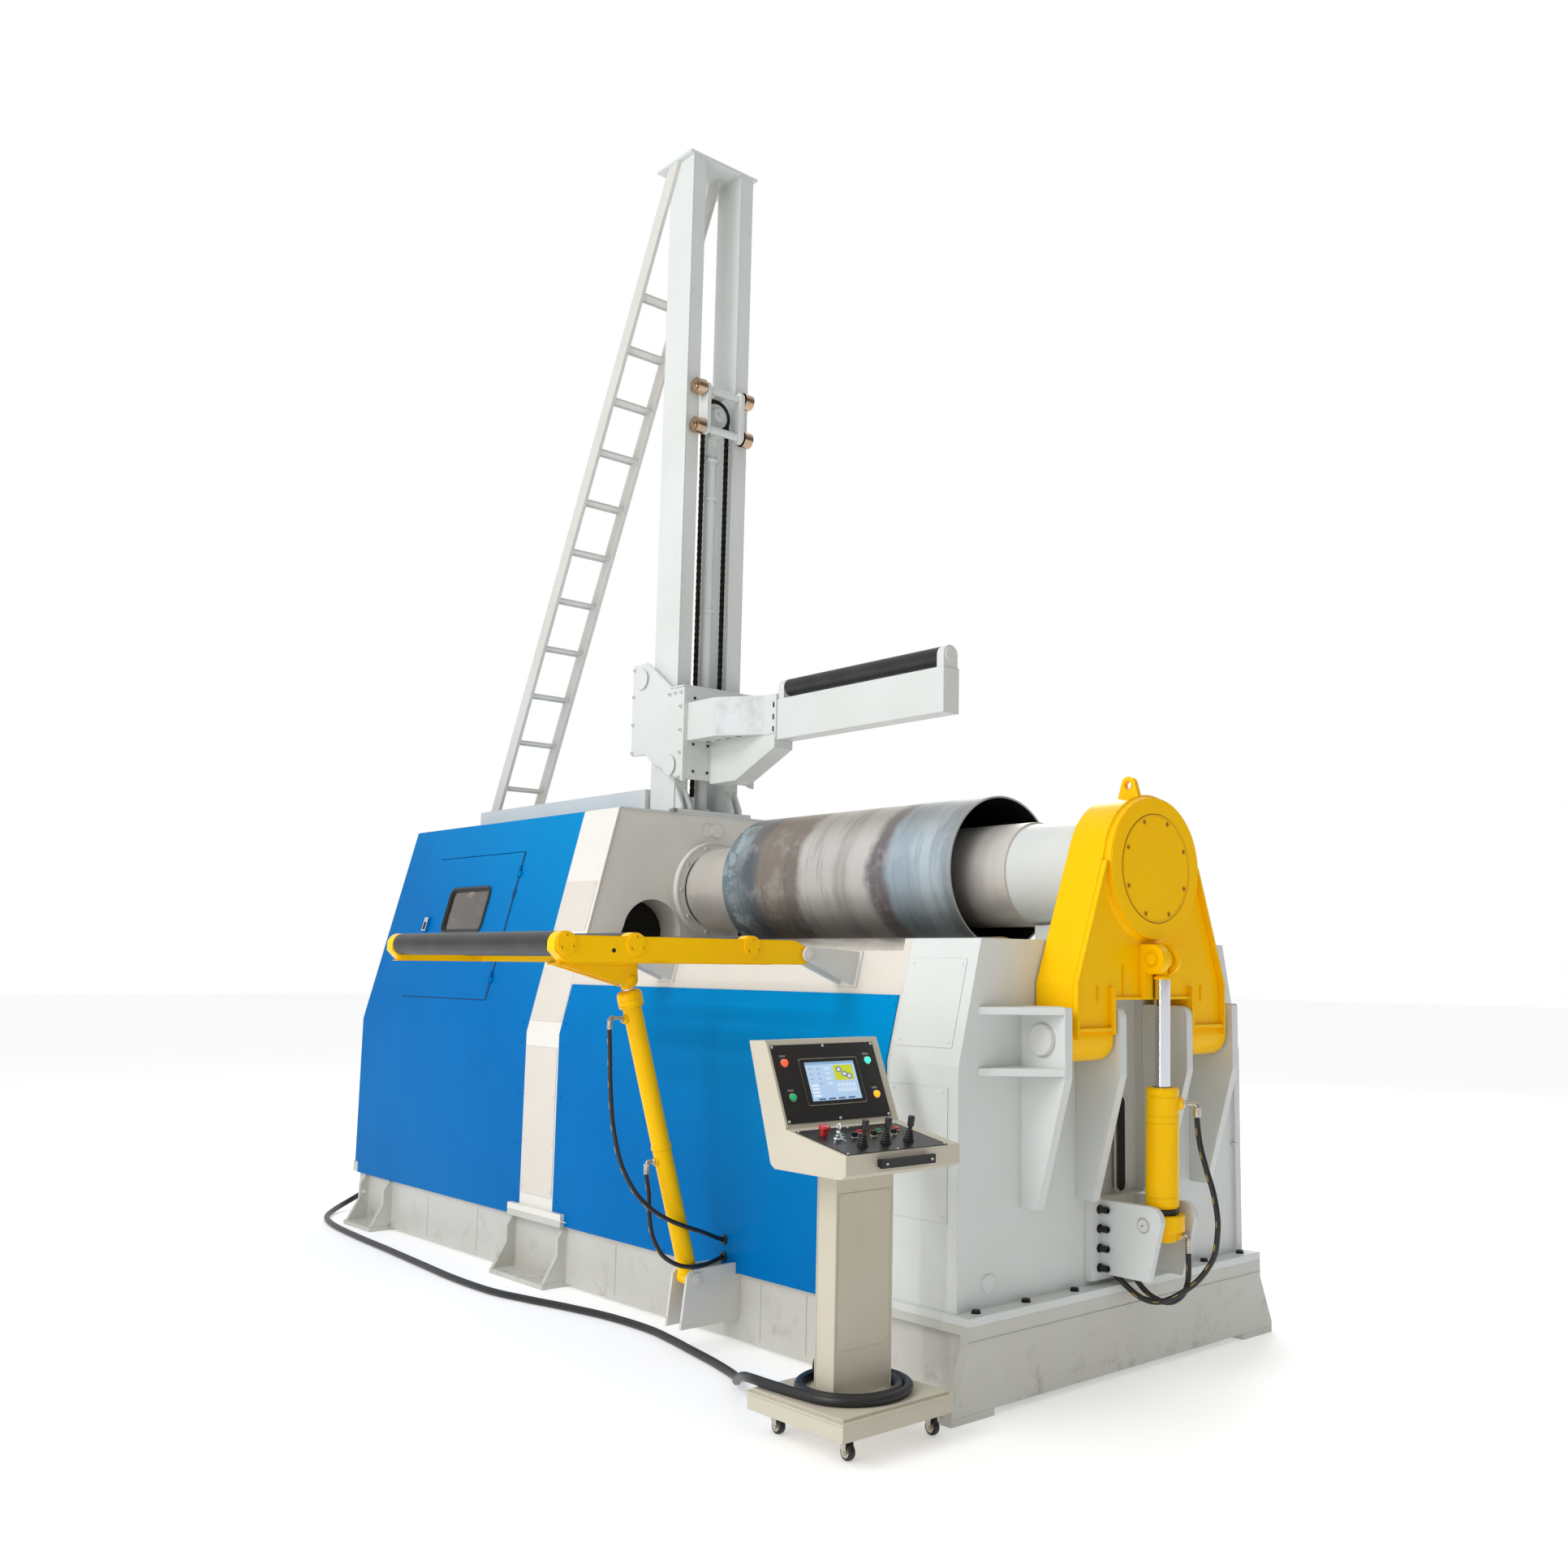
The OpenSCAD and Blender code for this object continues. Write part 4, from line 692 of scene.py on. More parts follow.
def whiteCovers(s):
    for x0, x1, z0, z1, mat in covers["leaning"]:
        facePlate(s, x0, x1, z0, z1, 2.5, mat)
    for x0, x1, z0, z1, mat in covers["upright"]:
        s.box((x0, body["y"] - 3, z0), (x1, body["y"] - 0.2, z1), 0.8, None, mat)
    for mat in (0, 1):
        faceScrews(s, covers["screws"][mat], 2.5, mat=mat)
        faceScrews(s, covers["lowScrews"][mat], 3, mat=mat)
    # Return edge of the sheet round the drive frame
    s.tube([(-334, -878, 345), (-334, -878, 1194), (-334, faceY(2340) + 2, 2340)], 5, 6)
    for x in (-735, -520, -430, -250):
        s.weld((x, -905, 311.5), (x + 80, -905, 311.5), 2.5)


def panelScrews(s):
    faceScrews(s, panels["edgeScrews"], 0.2)
    faceScrews(s, panels["screws"], 6.2)


door = {"glass": (-1956, -1478, 1711, 1964), "latch": (-2165, 1717),
        "height": (1341, 2153), "left": -2226, "right": -1200,
        "hinges": (1431, 2013, 1900, 1560)}


def addDoor():
    def rim(inset, corner, out):
        x0, x1, z0, z1 = door["glass"]
        outline = roundedBox(x0 + inset, x1 - inset, climb(z0 + inset), climb(z1 - inset),
                             corner)
        points = [leaningFace @ Vector((x, y, out)) for x, y in outline]
        return points + points[:1]

    gasket = Shape()
    gasket.tube(rim(0, 44, 4), 9, 10)
    gasket.tube(rim(13, 34, 1), 5, 8)
    gasket.piece("windowGasket", "rubber", "door")
    latch = Shape()
    x, low = door["latch"][0], climb(door["latch"][1])
    latch.box((x - 24, low + 2, 16.2), (x + 24, low + 84, 19), 1.2, leaningFace)
    # Painted shade: a dark inset in the lock's face
    latch.box((x - 13, low + 10, 19.2), (x + 13, low + 56, 20), 0.3, leaningFace, 1)
    latch.lathe(leaningFace @ Matrix.Translation((x, low + 68, 19)),
                [(8, 0), (8, 3), (6, 4), (0, 4)], 20)
    latch.piece("doorLock", ["chrome", "hole"], "door")
    # Painted shadow: dark blue strips along the door's edges and hinges
    seam = Shape()
    right = door["right"]
    low, high = (climb(z) for z in door["height"])
    seam.box((right - 6, low, -3), (right + 6, high, 3.5), 0.8, leaningFace)
    seam.box((door["left"], low - 4, -3), (right, low, 1), 0.3, leaningFace)
    for z in door["hinges"]:
        seam.box((right - 12, climb(z), -1), (right + 12, climb(z) + 46, 6), 1.5, leaningFace)
    seam.piece("doorSeam", "gap", "root")


bearing = {"x": -277, "bolts": 10, "circle": 233}
topEdge = {"left": -2664, "frame": (-672, -334), "z": 2341, "clips": ((-600, -250), (-350, -262))}


def addHousing():
    bothSides(whiteCovers, "whiteCovers", ["warmWhite", "white"])
    bothSides(panelScrews, "panelScrews", "blue")
    addDoor()
    ring = Shape()
    x = bearing["x"]
    for y, z in around(bearing["bolts"], bearing["circle"], 2):
        ring.bolt((x, y, rollZ + z), xDir, 11, "cap")
    ring.ring((x, 0, rollZ), (x + 4, 0, rollZ), 248, 261, 1.5)
    ring.piece("ringBolts", "white", "root")
    seal = Shape()
    seal.ring((x - 2, 0, rollZ), (x + 3, 0, rollZ), 204, 209, 1)
    seal.piece("ringSeal", "darkSteel", "root")
    top = Shape()
    (x0, x1), z = topEdge["frame"], topEdge["z"]
    for side in (-1, 1):
        top.box((x0, side * 570 - 4, z), (x1, side * 570 + 4, z + 12), 2)
        top.weld((-2560, side * 234, z + 8), (-655, side * 234, z + 8), 4)
    top.box((x1 - 7, -574, z), (x1 + 1, 574, z + 12), 2)
    top.box((topEdge["left"], -586, z + 3), (x0, -578, z + 9), 1.5)
    for x, y in topEdge["clips"]:
        top.box((x, y - 12, z + 7), (x + 44, y + 12, z + 25), 2, None, 1)
        for offset in (12, 32):
            top.bolt((x + offset, y, z + 25), zDir, 6, "hex", 1)
    top.piece("frameTopEdges", ["white", "zinc"], "root")


base = {"face": 860, "feet": ((-2550, -2190), (-755, -234)),
        "seams": (1290, 1580, 205, -1140, -1720),
        "footEdges": (-2540, -2515, -2215, -2190, -755, -730, -259, -234),
        "deckTop": 342, "dropBolts": (2455, (-816, -554, -281, 281, 554, 816)),
        "driveBolts": (-700, (-700, -430, 430, 700)), "gland": (-600, 160)}


def addBase():
    s = Shape()
    face = base["face"]
    for side in (-1, 1):
        for x in base["seams"]:
            s.weld((x, side * (face + 0.5), 34), (x, side * (face + 0.5), 262), 2.6)
        for x0, x1 in base["feet"]:
            s.weld((x0, side * (face + 1), 26), (x1, side * (face + 1), 26), 5)
        for x in base["footEdges"]:
            s.weld((x, side * (face + 2), 30), (x, side * (face + 2), 270), 3.5)
            s.weld((x, side * (face + 10), 25.5), (x, side * (face + 110), 25.5), 3.5)
    s.weld((2501, -900, 262), (2501, 900, 262), 2)
    s.piece("baseWelds", "baseWhite", "root")
    bolts = Shape()
    for x, row in (base["dropBolts"], base["driveBolts"]):
        for y in row:
            bolts.bolt((x, y, base["deckTop"]), zDir, 17, "hex")
    bolts.piece("frameBolts", "bolt", "root")
    gland = Shape()
    y, z = base["gland"]
    gland.ring((-2701, y, z), (-2676, y, z), 16.5, 26, 3, 24)
    gland.lathe(along((-2676, y, z), xDir), [(34, 0), (34, 14), (31, 16), (26, 16)], 6)
    gland.piece("cableGland", "black", "root")


drop = {"x": 2424, "legs": (192, 232, 510, 550), "legHeight": (672, 1398),
        "shelves": (1156, 1184, 1376, 1404), "pivot": (2530, 1284), "slot": (698, 1015)}
foot = {"x": 2655, "z": 588, "bolts": (406, 479, 552, 624)}


def addBrackets():
    s = Shape()
    face = drop["x"] + 2
    low, high = drop["legHeight"]
    px, pz = drop["pivot"]
    for side in (-1, 1):
        for y in drop["legs"]:
            s.weld((face, side * y, low), (face, side * y, high), 4)
        for z in drop["shelves"]:
            s.weld((face, side * 552, z), (face, side * 775, z), 3.5)
            s.weld((face + 4, side * 551, z), (face + 208, side * 551, z), 3.5)
        # Pin cap of the pivot
        s.rod((px, side * 562, pz), (px, side * 566, pz), 57, 1.5)
        s.ring((px, side * 545, pz), (px, side * 553, pz), 60, 66, 2)
        s.weld((face, side * 180, 366), (face, side * 180, 660), 4)
    s.bolt((drop["x"], -40, 1330), xDir, 12, "cap")
    s.bolt((drop["x"], 60, 1290), xDir, 12, "cap")
    s.ring((drop["x"], 0, 1395), (face, 0, 1395), 30, 34, 0.6)
    # Border of the slot in the frame, and the thin pipe beside it
    s.tube([(face - 1, y, z) for y, z in slotOutline(46, *drop["slot"], 42, 12)], 3, 6)
    s.tube([(2436, 820, 369), (2436, 820, 1086)], 6, 10)
    s.box((2424, 806, 790), (2444, 834, 804), 2)
    s.piece("bracketDetails", "grey", "root")
    bolts = Shape()
    for y in (-131, 131):
        for z in foot["bolts"]:
            bolts.ring((2454, y, z), (2458, y, z), 8, 17, 1, 24)
            bolts.lathe(along((2458, y, z), xDir), [
                (12.5, 0), (12.5, 37), (11.5, 38.5), (7, 38.5), (7, 30), (0, 30)], 24)
    bolts.piece("bracketBolts", "bolt", "root")
    # Painted shade: a dark sheet inside the slot in the frame
    slot = Shape()
    slot.plate(slotOutline(44, *drop["slot"], 25, 9), drop["x"] + 0.2, drop["x"] + 1, yzPlane)
    slot.piece("frameSlot", "hole", "root")
    caps, dots = Shape(), Shape()
    x, z = foot["x"], foot["z"]
    for side in (-1, 1):
        caps.rod((x, side * 122, z), (x, side * 125, z), 23, 1.5)
        caps.ring((x, side * 117, z), (x, side * 119.5, z), 27, 30, 0.8)
        dots.bolt((x, side * 125, z), (0, side, 0), 3.2, "cap")
    caps.piece("bracketPinCaps", "grey", "root")
    # Painted shade: the dots are dark holes in the pin ends
    dots.piece("bracketPinHoles", "hole", "root")


yoke = {"x": 2610, "flangeTop": 471.5, "legs": 356, "webZ": 1428,
        "bolts": 8, "boltCircle": 193, "cover": 213, "lug": (2514, 2280)}
eye = {"x": 2668, "z": 1584}


def addYoke():
    s = Shape()
    x, web, wide = yoke["x"], yoke["webZ"], yoke["flangeTop"]
    for side in (-1, 1):
        # Edge flange that stands proud of the web along each leg
        outline = [(wide, 1286), (wide, 1490), (296, 1958), (286, 1955), (461, 1485),
                   (461, 1286)]
        s.plate([(side * y, z) for y, z in outline], x, x + 24, yzPlane, 4)
        leg = side * yoke["legs"]
        s.box((x, leg - 106, 1312), (x + 20, leg + 106, 1326), 5)
        s.box((x, side * 252 - 8, 1300), (x + 22, side * 252 + 8, 1478), 5)
        s.weld((x + 3, side * 330, 1420), (x + 3, side * 330, 1482), 4)
        s.weld((x + 22, side * 455, 1322), (x + 10, side * 440, 1322), 3)
    s.box((x, -244, web), (x + 12, 244, web + 12), 4)
    s.weld((x + 3, -176, web + 20), (x + 3, -176, web + 132), 4.5)
    s.ring((x + 28, 0, rollZ), (x + 33.5, 0, rollZ), yoke["cover"] + 2.2, 280, 2, 96)
    s.lathe(along((x, 0, rollZ), xDir), [(293, 0), (284, 4), (280.6, 12), (276, 12)], 96)
    s.piece("yokeRibs", "yellow", "yoke")
    # Painted shade: a thin dark ring and discs in the cover's groove and bolt recesses
    cover, groove = Shape(), Shape()
    groove.ring((x + 33.4, 0, rollZ), (x + 33.9, 0, rollZ), yoke["cover"], yoke["cover"] + 2.4,
                0.1, 96)
    for y, z in around(yoke["bolts"], yoke["boltCircle"], 23):
        at = Vector((x + 34, y, rollZ + z))
        cover.ring(at, at + xDir * 1.5, 8, 10.5, 0.5, 20)
        at += xDir * 0.1
        groove.rod(at, at + xDir * 0.5, 7.5, 0.1, 12)
        groove.lathe(along(at, xDir), [(5, 0), (5, 1.6), (3, 1.6), (3, 0.8), (0, 0.8)], 10)
    cover.ring((x + 34, 0, rollZ), (x + 34.8, 0, rollZ), 205, yoke["cover"] - 0.4, 0.3, 96)
    cover.piece("yokeCoverBolts", "yellow", "yoke")
    groove.piece("yokeCoverGroove", "groove", "yoke")
    ears = Shape()
    ears.ring((eye["x"], -71.5, eye["z"]), (eye["x"], -70, eye["z"]), 24.5, 33, 0.7)
    ears.ring((eye["x"], 45, eye["z"]), (eye["x"], 47, eye["z"]), 25, 34, 1)
    for y in (-71, 46):
        ears.weld((x + 2, y, web + 12), (x + 2, y, web + 212), 4)
    lx, lz = yoke["lug"]
    for side in (-1, 1):
        ears.weld((lx - 55, side * 11, lz - 61), (lx + 55, side * 11, lz - 61), 5)
    ears.ring((lx, -11.5, lz), (lx, -10, lz), 16, 19, 0.6)
    ears.piece("yokeEarDetails", "yellow", "yoke")
    grease = Shape()
    grease.bolt((x, 118, 1498), xDir, 8, "hex")
    grease.bolt((x, 140, 1540), xDir, 4, "hex")
    grease.piece("yokeGreaseNipple", "yellow", "yoke")


def hosePort(shape, boss, elbow, down, size):
    # Boss on the barrel, then nut, elbow and crimped ferrule
    a, b = Vector(boss), Vector(elbow)
    way = (b - a).normalized()
    shape.rod(a - way * 26 * size, a, 24 * size, 3)
    shape.lathe(along(a, way), [(17 * size, 0), (17 * size, 12 * size), (14 * size, 14 * size),
                                (0, 14 * size)], 6, 1)
    shape.rod(a + way * 12 * size, b - way * 4, 9.5 * size, 1, 24, 1)
    shape.tube([b - way * 16 * size, b - way * 7 * size - zDir, b - way * 2 - zDir * 5,
                b - zDir * 14 * size], 10 * size, 14, 1)
    shape.lathe(along(b - zDir * 12 * size, -zDir),
                [(10 * size, 0), (16 * size, 1), (16 * size, 12 * size), (12 * size, 13 * size)],
                6, 1)
    shape.ring(b - zDir * 13 * size, (b.x, b.y, down - 26), 11.6 * size, 14.5 * size, 1, 24, 1)
    for z in (down - 2, down - 9, down - 16):
        shape.ring((b.x, b.y, z), (b.x, b.y, z - 2), 14 * size, 15.4 * size, 0.5, 24, 1)


# Each barrel is radius and height up the axis, from the foot pin
tiltCylinder = {
    "foot": (foot["x"], 0, foot["z"]), "eye": (eye["x"], 0, eye["z"]), "bands": (96, 372, 398),
    "barrel": [(0, -68), (52, -68), (59, -62), (59, -28), (84, -28), (86, -26), (86, 30),
               (84, 32), (59, 32), (59, 60), (61, 62), (64, 64), (64, 470), (62, 472),
               (62, 476), (64, 478), (64, 500), (60, 506), (34, 508), (34, 496), (0, 496)],
    "ports": [((2722, 50, 1034), (2765, 80, 1034), 1010, 1.0),
              ((2702, 55, 540), (2724, 70, 540), 500, 0.8)]}
tableCylinder = {
    "foot": (1095, -1081, 290), "eye": (1095, -1425, 1481),
    "barrel": [(0, 20), (34, 20), (38, 24), (38, 538), (41, 541), (41, 552), (38, 555),
               (38, 1122), (42, 1127), (50, 1130), (50, 1178), (46, 1190), (34, 1196),
               (22, 1196), (22, 1180), (0, 1180)],
    "ports": [((1095, -1432, 1325), (1095, -1492, 1334), 1312, 0.72),
              ((1095, -1262, 758), (1095, -1299, 762), 738, 0.72)]}


def addTiltCylinder():
    low, high = Vector(tiltCylinder["foot"]), Vector(tiltCylinder["eye"])
    up = (high - low).normalized()
    s = Shape()
    s.lathe(along(low, up), tiltCylinder["barrel"], 48)
    for h in tiltCylinder["bands"]:
        s.ring(low + up * h, low + up * (h + 2.5), 63, 65, 0.6)
    s.rod(low - yDir * 91, low + yDir * 91, 34, 3)
    for port in tiltCylinder["ports"]:
        hosePort(s, *port)
    s.piece("tiltBarrel", ["yellow", "zinc"], "tilt_barrel", ["tilt_barrel"])
    dark = Shape()
    dark.ring(low + up * 33, low + up * 56, 58, 62.5, 3)
    dark.ring(low + up * 505, low + up * 510, 31.6, 37, 1.5)
    dark.piece("tiltBarrelBand", "darkSteel", "tilt_barrel")
    end = Shape()
    end.lathe(along(low + up * 918, up), [(31.4, 0), (34, 2), (34, 10), (30, 14), (22, 20),
                                          (20, 30), (19.4, 52)], 32)
    end.rod(high - yDir * 20.3, high + yDir * 20.3, 37.5, 3, 48)
    end.piece("tiltRodEye", "yellow", "tilt_rod")


def addTableCylinder():
    low, high = Vector(tableCylinder["foot"]), Vector(tableCylinder["eye"])
    up = (high - low).normalized()
    x, y, z = low
    s = Shape()
    s.lathe(along(low, up), tableCylinder["barrel"], 40)
    s.rod((x - 38, y, z), (x + 38, y, z), 34, 3)
    s.weld((x - 33, -1246, 820), (x + 33, -1246, 820), 3)
    for h, outer in ((1138, 51), (1160, 51), (60, 39.5)):
        s.ring(low + up * h, low + up * (h + 3), 37, outer, 0.8)
    for port in tableCylinder["ports"]:
        hosePort(s, *port)
    s.piece("tableBarrel", ["yellow", "zinc"], "table_barrel", ["table_barrel"])
    collar = Shape()
    collar.lathe(along(low + up * 1202, up), [(21, 0), (26, 3), (26, 14), (20, 18)], 28)
    collar.piece("tableRodCollar", "yellow", "table_rod")
    pins = Shape()
    for side in (-1, 1):
        at = Vector((x + side * 66, y, z))
        pins.rod(at - xDir * side * 6, at, 22, 2)
        pins.bolt(at, (side, 0, 0), 7, "hex")
        pins.weld((x + side * 44, -862, 104), (x + side * 44, -862, 278), 3)
    for px in (x - 50, x + 50):
        for py, pz in ((-1148, 130), (-1130, 240)):
            pins.bolt((px, py, pz), -yDir, 5, "pan")
    pins.piece("tableFootPins", "grey", "root")
    grommets = Shape()
    for gz in (407, 339):
        grommets.ring((1070, -897, gz), (1070, -884, gz), 9.5, 19, 3, 28)
    grommets.piece("hoseGrommets", "rubber", "root")


def capRing(x, y, z, radius):
    # Centres of the three bolts over a roller's end
    return [Vector((x, y + u, z + v)) for u, v in around(3, radius, 95)]


table = {"rollers": {"outer": -2082, "middle": -1808, "inner": -1300}, "z": 1612,
         "arms": (440, 1700), "wide": 50, "boltCircle": 27, "ends": ((497, 1), (1693, -1)),
         "pivot": (-1035, 1588)}


def addTable():
    rows, z, wide = table["rollers"], table["z"], table["wide"]
    left, right = table["arms"]
    outer = ((left, -1), (right + wide, 1))
    s, holes = Shape(), Shape()
    for x, side in ((left, -1), (left + wide, 1), (right, -1), (right + wide, 1)):
        for y in rows.values():
            s.rod((x, y, z), (x + side * 7, y, z), 40, 2)
            if (x, side) in outer:
                for at in capRing(x + side * 7, y, z, table["boltCircle"]):
                    s.bolt(at, (side, 0, 0), 6, "cap")
    for x in table["arms"]:
        s.weld((x + 52, -1740, 1550), (x + 52, -1680, 1550), 3)
        s.box((x + 2, -2098, 1546.5), (x + 48, -1200, 1549), 0.8)
    s.piece("tableCaps", "yellow", "table")
    # Painted shade: dark discs stand for the arm's hole and the bolts' sockets
    for x, side in outer:
        holes.rod((x + side * 0.2, -1895, 1590), (x + side * 0.9, -1895, 1590), 8, 0.2, 16)
        for y in rows.values():
            for at in capRing(x + side * 9.8, y, z, table["boltCircle"]):
                holes.rod(at, at + xDir * side * 0.4, 2.5, 0.1, 10)
    holes.piece("tableHoles", "hole", "table", slot="yellow_paint")
    lug = Shape()
    centre = Vector(tableCylinder["eye"])
    for side in (-1, 1):
        at = centre + xDir * side * 51
        lug.rod(at - xDir * side * 3, at, 15, 1.5)
        lug.bolt(at, (side, 0, 0), 5, "cap")
        x = centre.x + side * 41
        lug.weld((x, -1740, 1537), (x, -1410, 1537), 3)
    lug.box((1045, -1752, 1536), (1145, -1744, 1546), 2)
    lug.piece("tableLugDetails", "yellow", "table")
    for name, y in rows.items():
        ends = Shape()
        for x, side in table["ends"]:
            ends.ring((x + side * 0.4, y, z), (x + side * 3.5, y, z), 14.5, 41, 1)
        ends.ring((540, y, z), (542, y, z), 41.5, 42.4, 0.3)
        ends.piece("rollerEnds_" + name, "black", "roller_" + name, slot="black_rubber")
    brackets = Shape()
    y, z = table["pivot"]
    for x in table["arms"]:
        for side in (-1, 1):
            at = Vector((x + wide / 2 + side * 49, y, z))
            brackets.rod(at, at + xDir * side * 5, 21, 2)
            brackets.rod(at + xDir * side * 5, at + xDir * side * 8, 14, 1.5)
        for edge in (x - 24, x + 74):
            brackets.weld((edge, faceY(1480) - 2, 1480), (edge, faceY(1590) - 2, 1590), 3)
        facePlate(brackets, x - 44, x + 94, 1462, 1604, 5)
    brackets.piece("tableBracketDetails", "grey", "root")


chain = {"x": -420, "radius": 82, "pitch": 19.05, "low": (2450, 2900), "wheelZ": 4640,
         "wrapLinks": 13, "teeth": 27, "looks": ["darkSteel", "grease"]}
guide = {"x": -352, "heights": (4755, 4528)}
tower = {"front": -402, "back": -632, "half": 211, "foot": 2376, "top": 6149,
         "stops": (5800, 5310, 3640, 3560), "tubeX": -455, "clamps": (2760, 3500, 4150),
         "tubeTop": 4390, "rungs": 11, "firstRung": 2641, "rungGap": 282}


def chainLink(shape, base, k):
    # Local axes: X along the pins, Y across the strand, Z along it
    outline = arc(0, chain["pitch"], 7.8, 180, -180, 5) + arc(0, 0, 7.8, 0, -180, 5)
    for x in ((-12, -1.2, 9.6) if k % 2 else (-9.4, -3.9, 1.5, 7.0)):
        shape.plate(outline, x, x + 2.3, base @ yzPlane, 0, k % 2)
    pin = base @ Matrix.Rotation(math.pi / 2, 4, "Y")
    for radius, low, high in ((3.2, -13, 13), (5.9, -7, -2), (5.9, 2.5, 7.5)):
        shape.lathe(pin, [(0, low), (radius, low), (radius, high), (0, high)], 8)


def strand(y, low):
    shape = Shape()
    for k in range(int((chain["wheelZ"] - low) / chain["pitch"])):
        chainLink(shape, Matrix.Translation((chain["x"], y, low + k * chain["pitch"] + 6)), k)
    return shape


def addChains():
    r, z = chain["radius"], chain["wheelZ"]
    front = strand(-r, chain["low"][0]).piece("chainFront", chain["looks"], None,
                                              ["chain_front"])
    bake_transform(front)
    rear = strand(r, chain["low"][1]).piece("chainRear", chain["looks"], "carriage",
                                            ["chain_rear"])
    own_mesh(rear)
    wrap = Shape()
    for k in range(chain["wrapLinks"]):
        a = math.pi * (k + 0.2) / (chain["wrapLinks"] + 0.3)
        place = Matrix.Translation((chain["x"], -r * math.cos(a), z + r * math.sin(a)))
        chainLink(wrap, place @ Matrix.Rotation(-a, 4, "X"), k)
    wrap.piece("chainWrap", chain["looks"], "crosshead")
    wheel = Shape()
    for x in (-434, -408.5):
        wheel.lathe(along((x, 0, z), xDir), [(0, 0), (71, 0), (71, 3), (0, 3)], 40)
    for k in range(chain["teeth"]):
        turn = Matrix.Rotation(2 * math.pi * k / chain["teeth"], 4, "X")
        wheel.box((-423, -4, 66), (-417, 4, 80), 1.5, Matrix.Translation((0, 0, z)) @ turn, 1)
    wheel.ring((-433, 0, z), (-406, 0, z), 69, 95, 1, 64, 1)
    wheel.ring((-408, 0, z), (-401, 0, z), 46, 60, 2, 40)
    wheel.rod((-386, 0, z), (-378, 0, z), 40, 2, 40)
    wheel.bolt((-378, 0, z), xDir, 12, "hex")
    wheel.piece("sprocketDetails", ["white", "darkSteel"], "crosshead")


def addTower():
    addChains()
    hubs = Shape()
    x = guide["x"]
    for z in guide["heights"]:
        for side in (-1, 1):
            hubs.rod((x, side * 190, z), (x, side * 197, z), 26, 2)
            hubs.bolt((x, side * 197, z), (0, side, 0), 13, "hex")
            hubs.ring((x, side * 135, z), (x, side * 139, z), 28, 45.8, 1)
    hubs.piece("guideRollerHubs", "bronze", "crosshead")
    s = Shape()
    front, back, low, top = (tower[k] for k in ("front", "back", "foot", "top"))
    for side in (-1, 1):
        y = side * tower["half"]
        s.weld((front, side * 125, low), (front, side * 210, low), 4)
        s.weld((back, y, low), (front - 2, y, low), 4)
        s.box((front - 1.5, side * 167 - 44, low + 4), (front + 0.2, side * 167 - 38, top - 1),
              0.5)
        s.weld((back, y, top), (front - 2, y, top), 3)
        for z in tower["stops"]:
            s.box((front + 0.1, side * 200 - 4, z), (front + 2.5, side * 200 + 4, z + 22), 0.8)
    x, z = tower["tubeX"], tower["tubeTop"]
    for clamp in tower["clamps"]:
        s.ring((x, 0, clamp), (x, 0, clamp + 16), 36.2, 46, 2, 40)
    for u, v in around(4, 43, 45):
        s.bolt((x + u, v, z), zDir, 6, "cap")
    s.ring((x, 0, z - 4), (x, 0, z + 6), 27, 40, 2)
    for k in range(tower["rungs"]):
        z = tower["firstRung"] + k * tower["rungGap"]
        # The ladder leans toward the tower as it climbs
        x = -1148 - (4894 - z) * 0.493
        for y in (-190, 54.5):
            s.weld((x - 90, y, z + 6), (x - 12, y, z + 6), 3)
        s.box((x - 92, -210, z - 9), (x - 86, 56, z), 1)
    s.piece("towerDetails", "white", "root")


carriage = {
    "side": 240, "sideBolts": [(-779, 3181), (-779, 3028), (-779, 2870), (-779, 2712),
                               (-424, 2999), (-370, 3001), (-316, 2999), (-316, 2923),
                               (-316, 2794), (-316, 2672), (-316, 2539)],
    "frontHoles": [(-175, 2720), (-80, 2720), (-172, 2573), (-80, 2573), (80, 2573),
                   (172, 2573), (80, 2720), (175, 2720), (-173, 2972), (173, 2972)],
    "hubs": ((-695, 3118), (-405, 2608)), "armTop": 2733}
arm = {"z": 2973, "caps": ((275, -1), (1490, 1)), "boltCircle": 25, "rollerEnds": (326, 1439)}


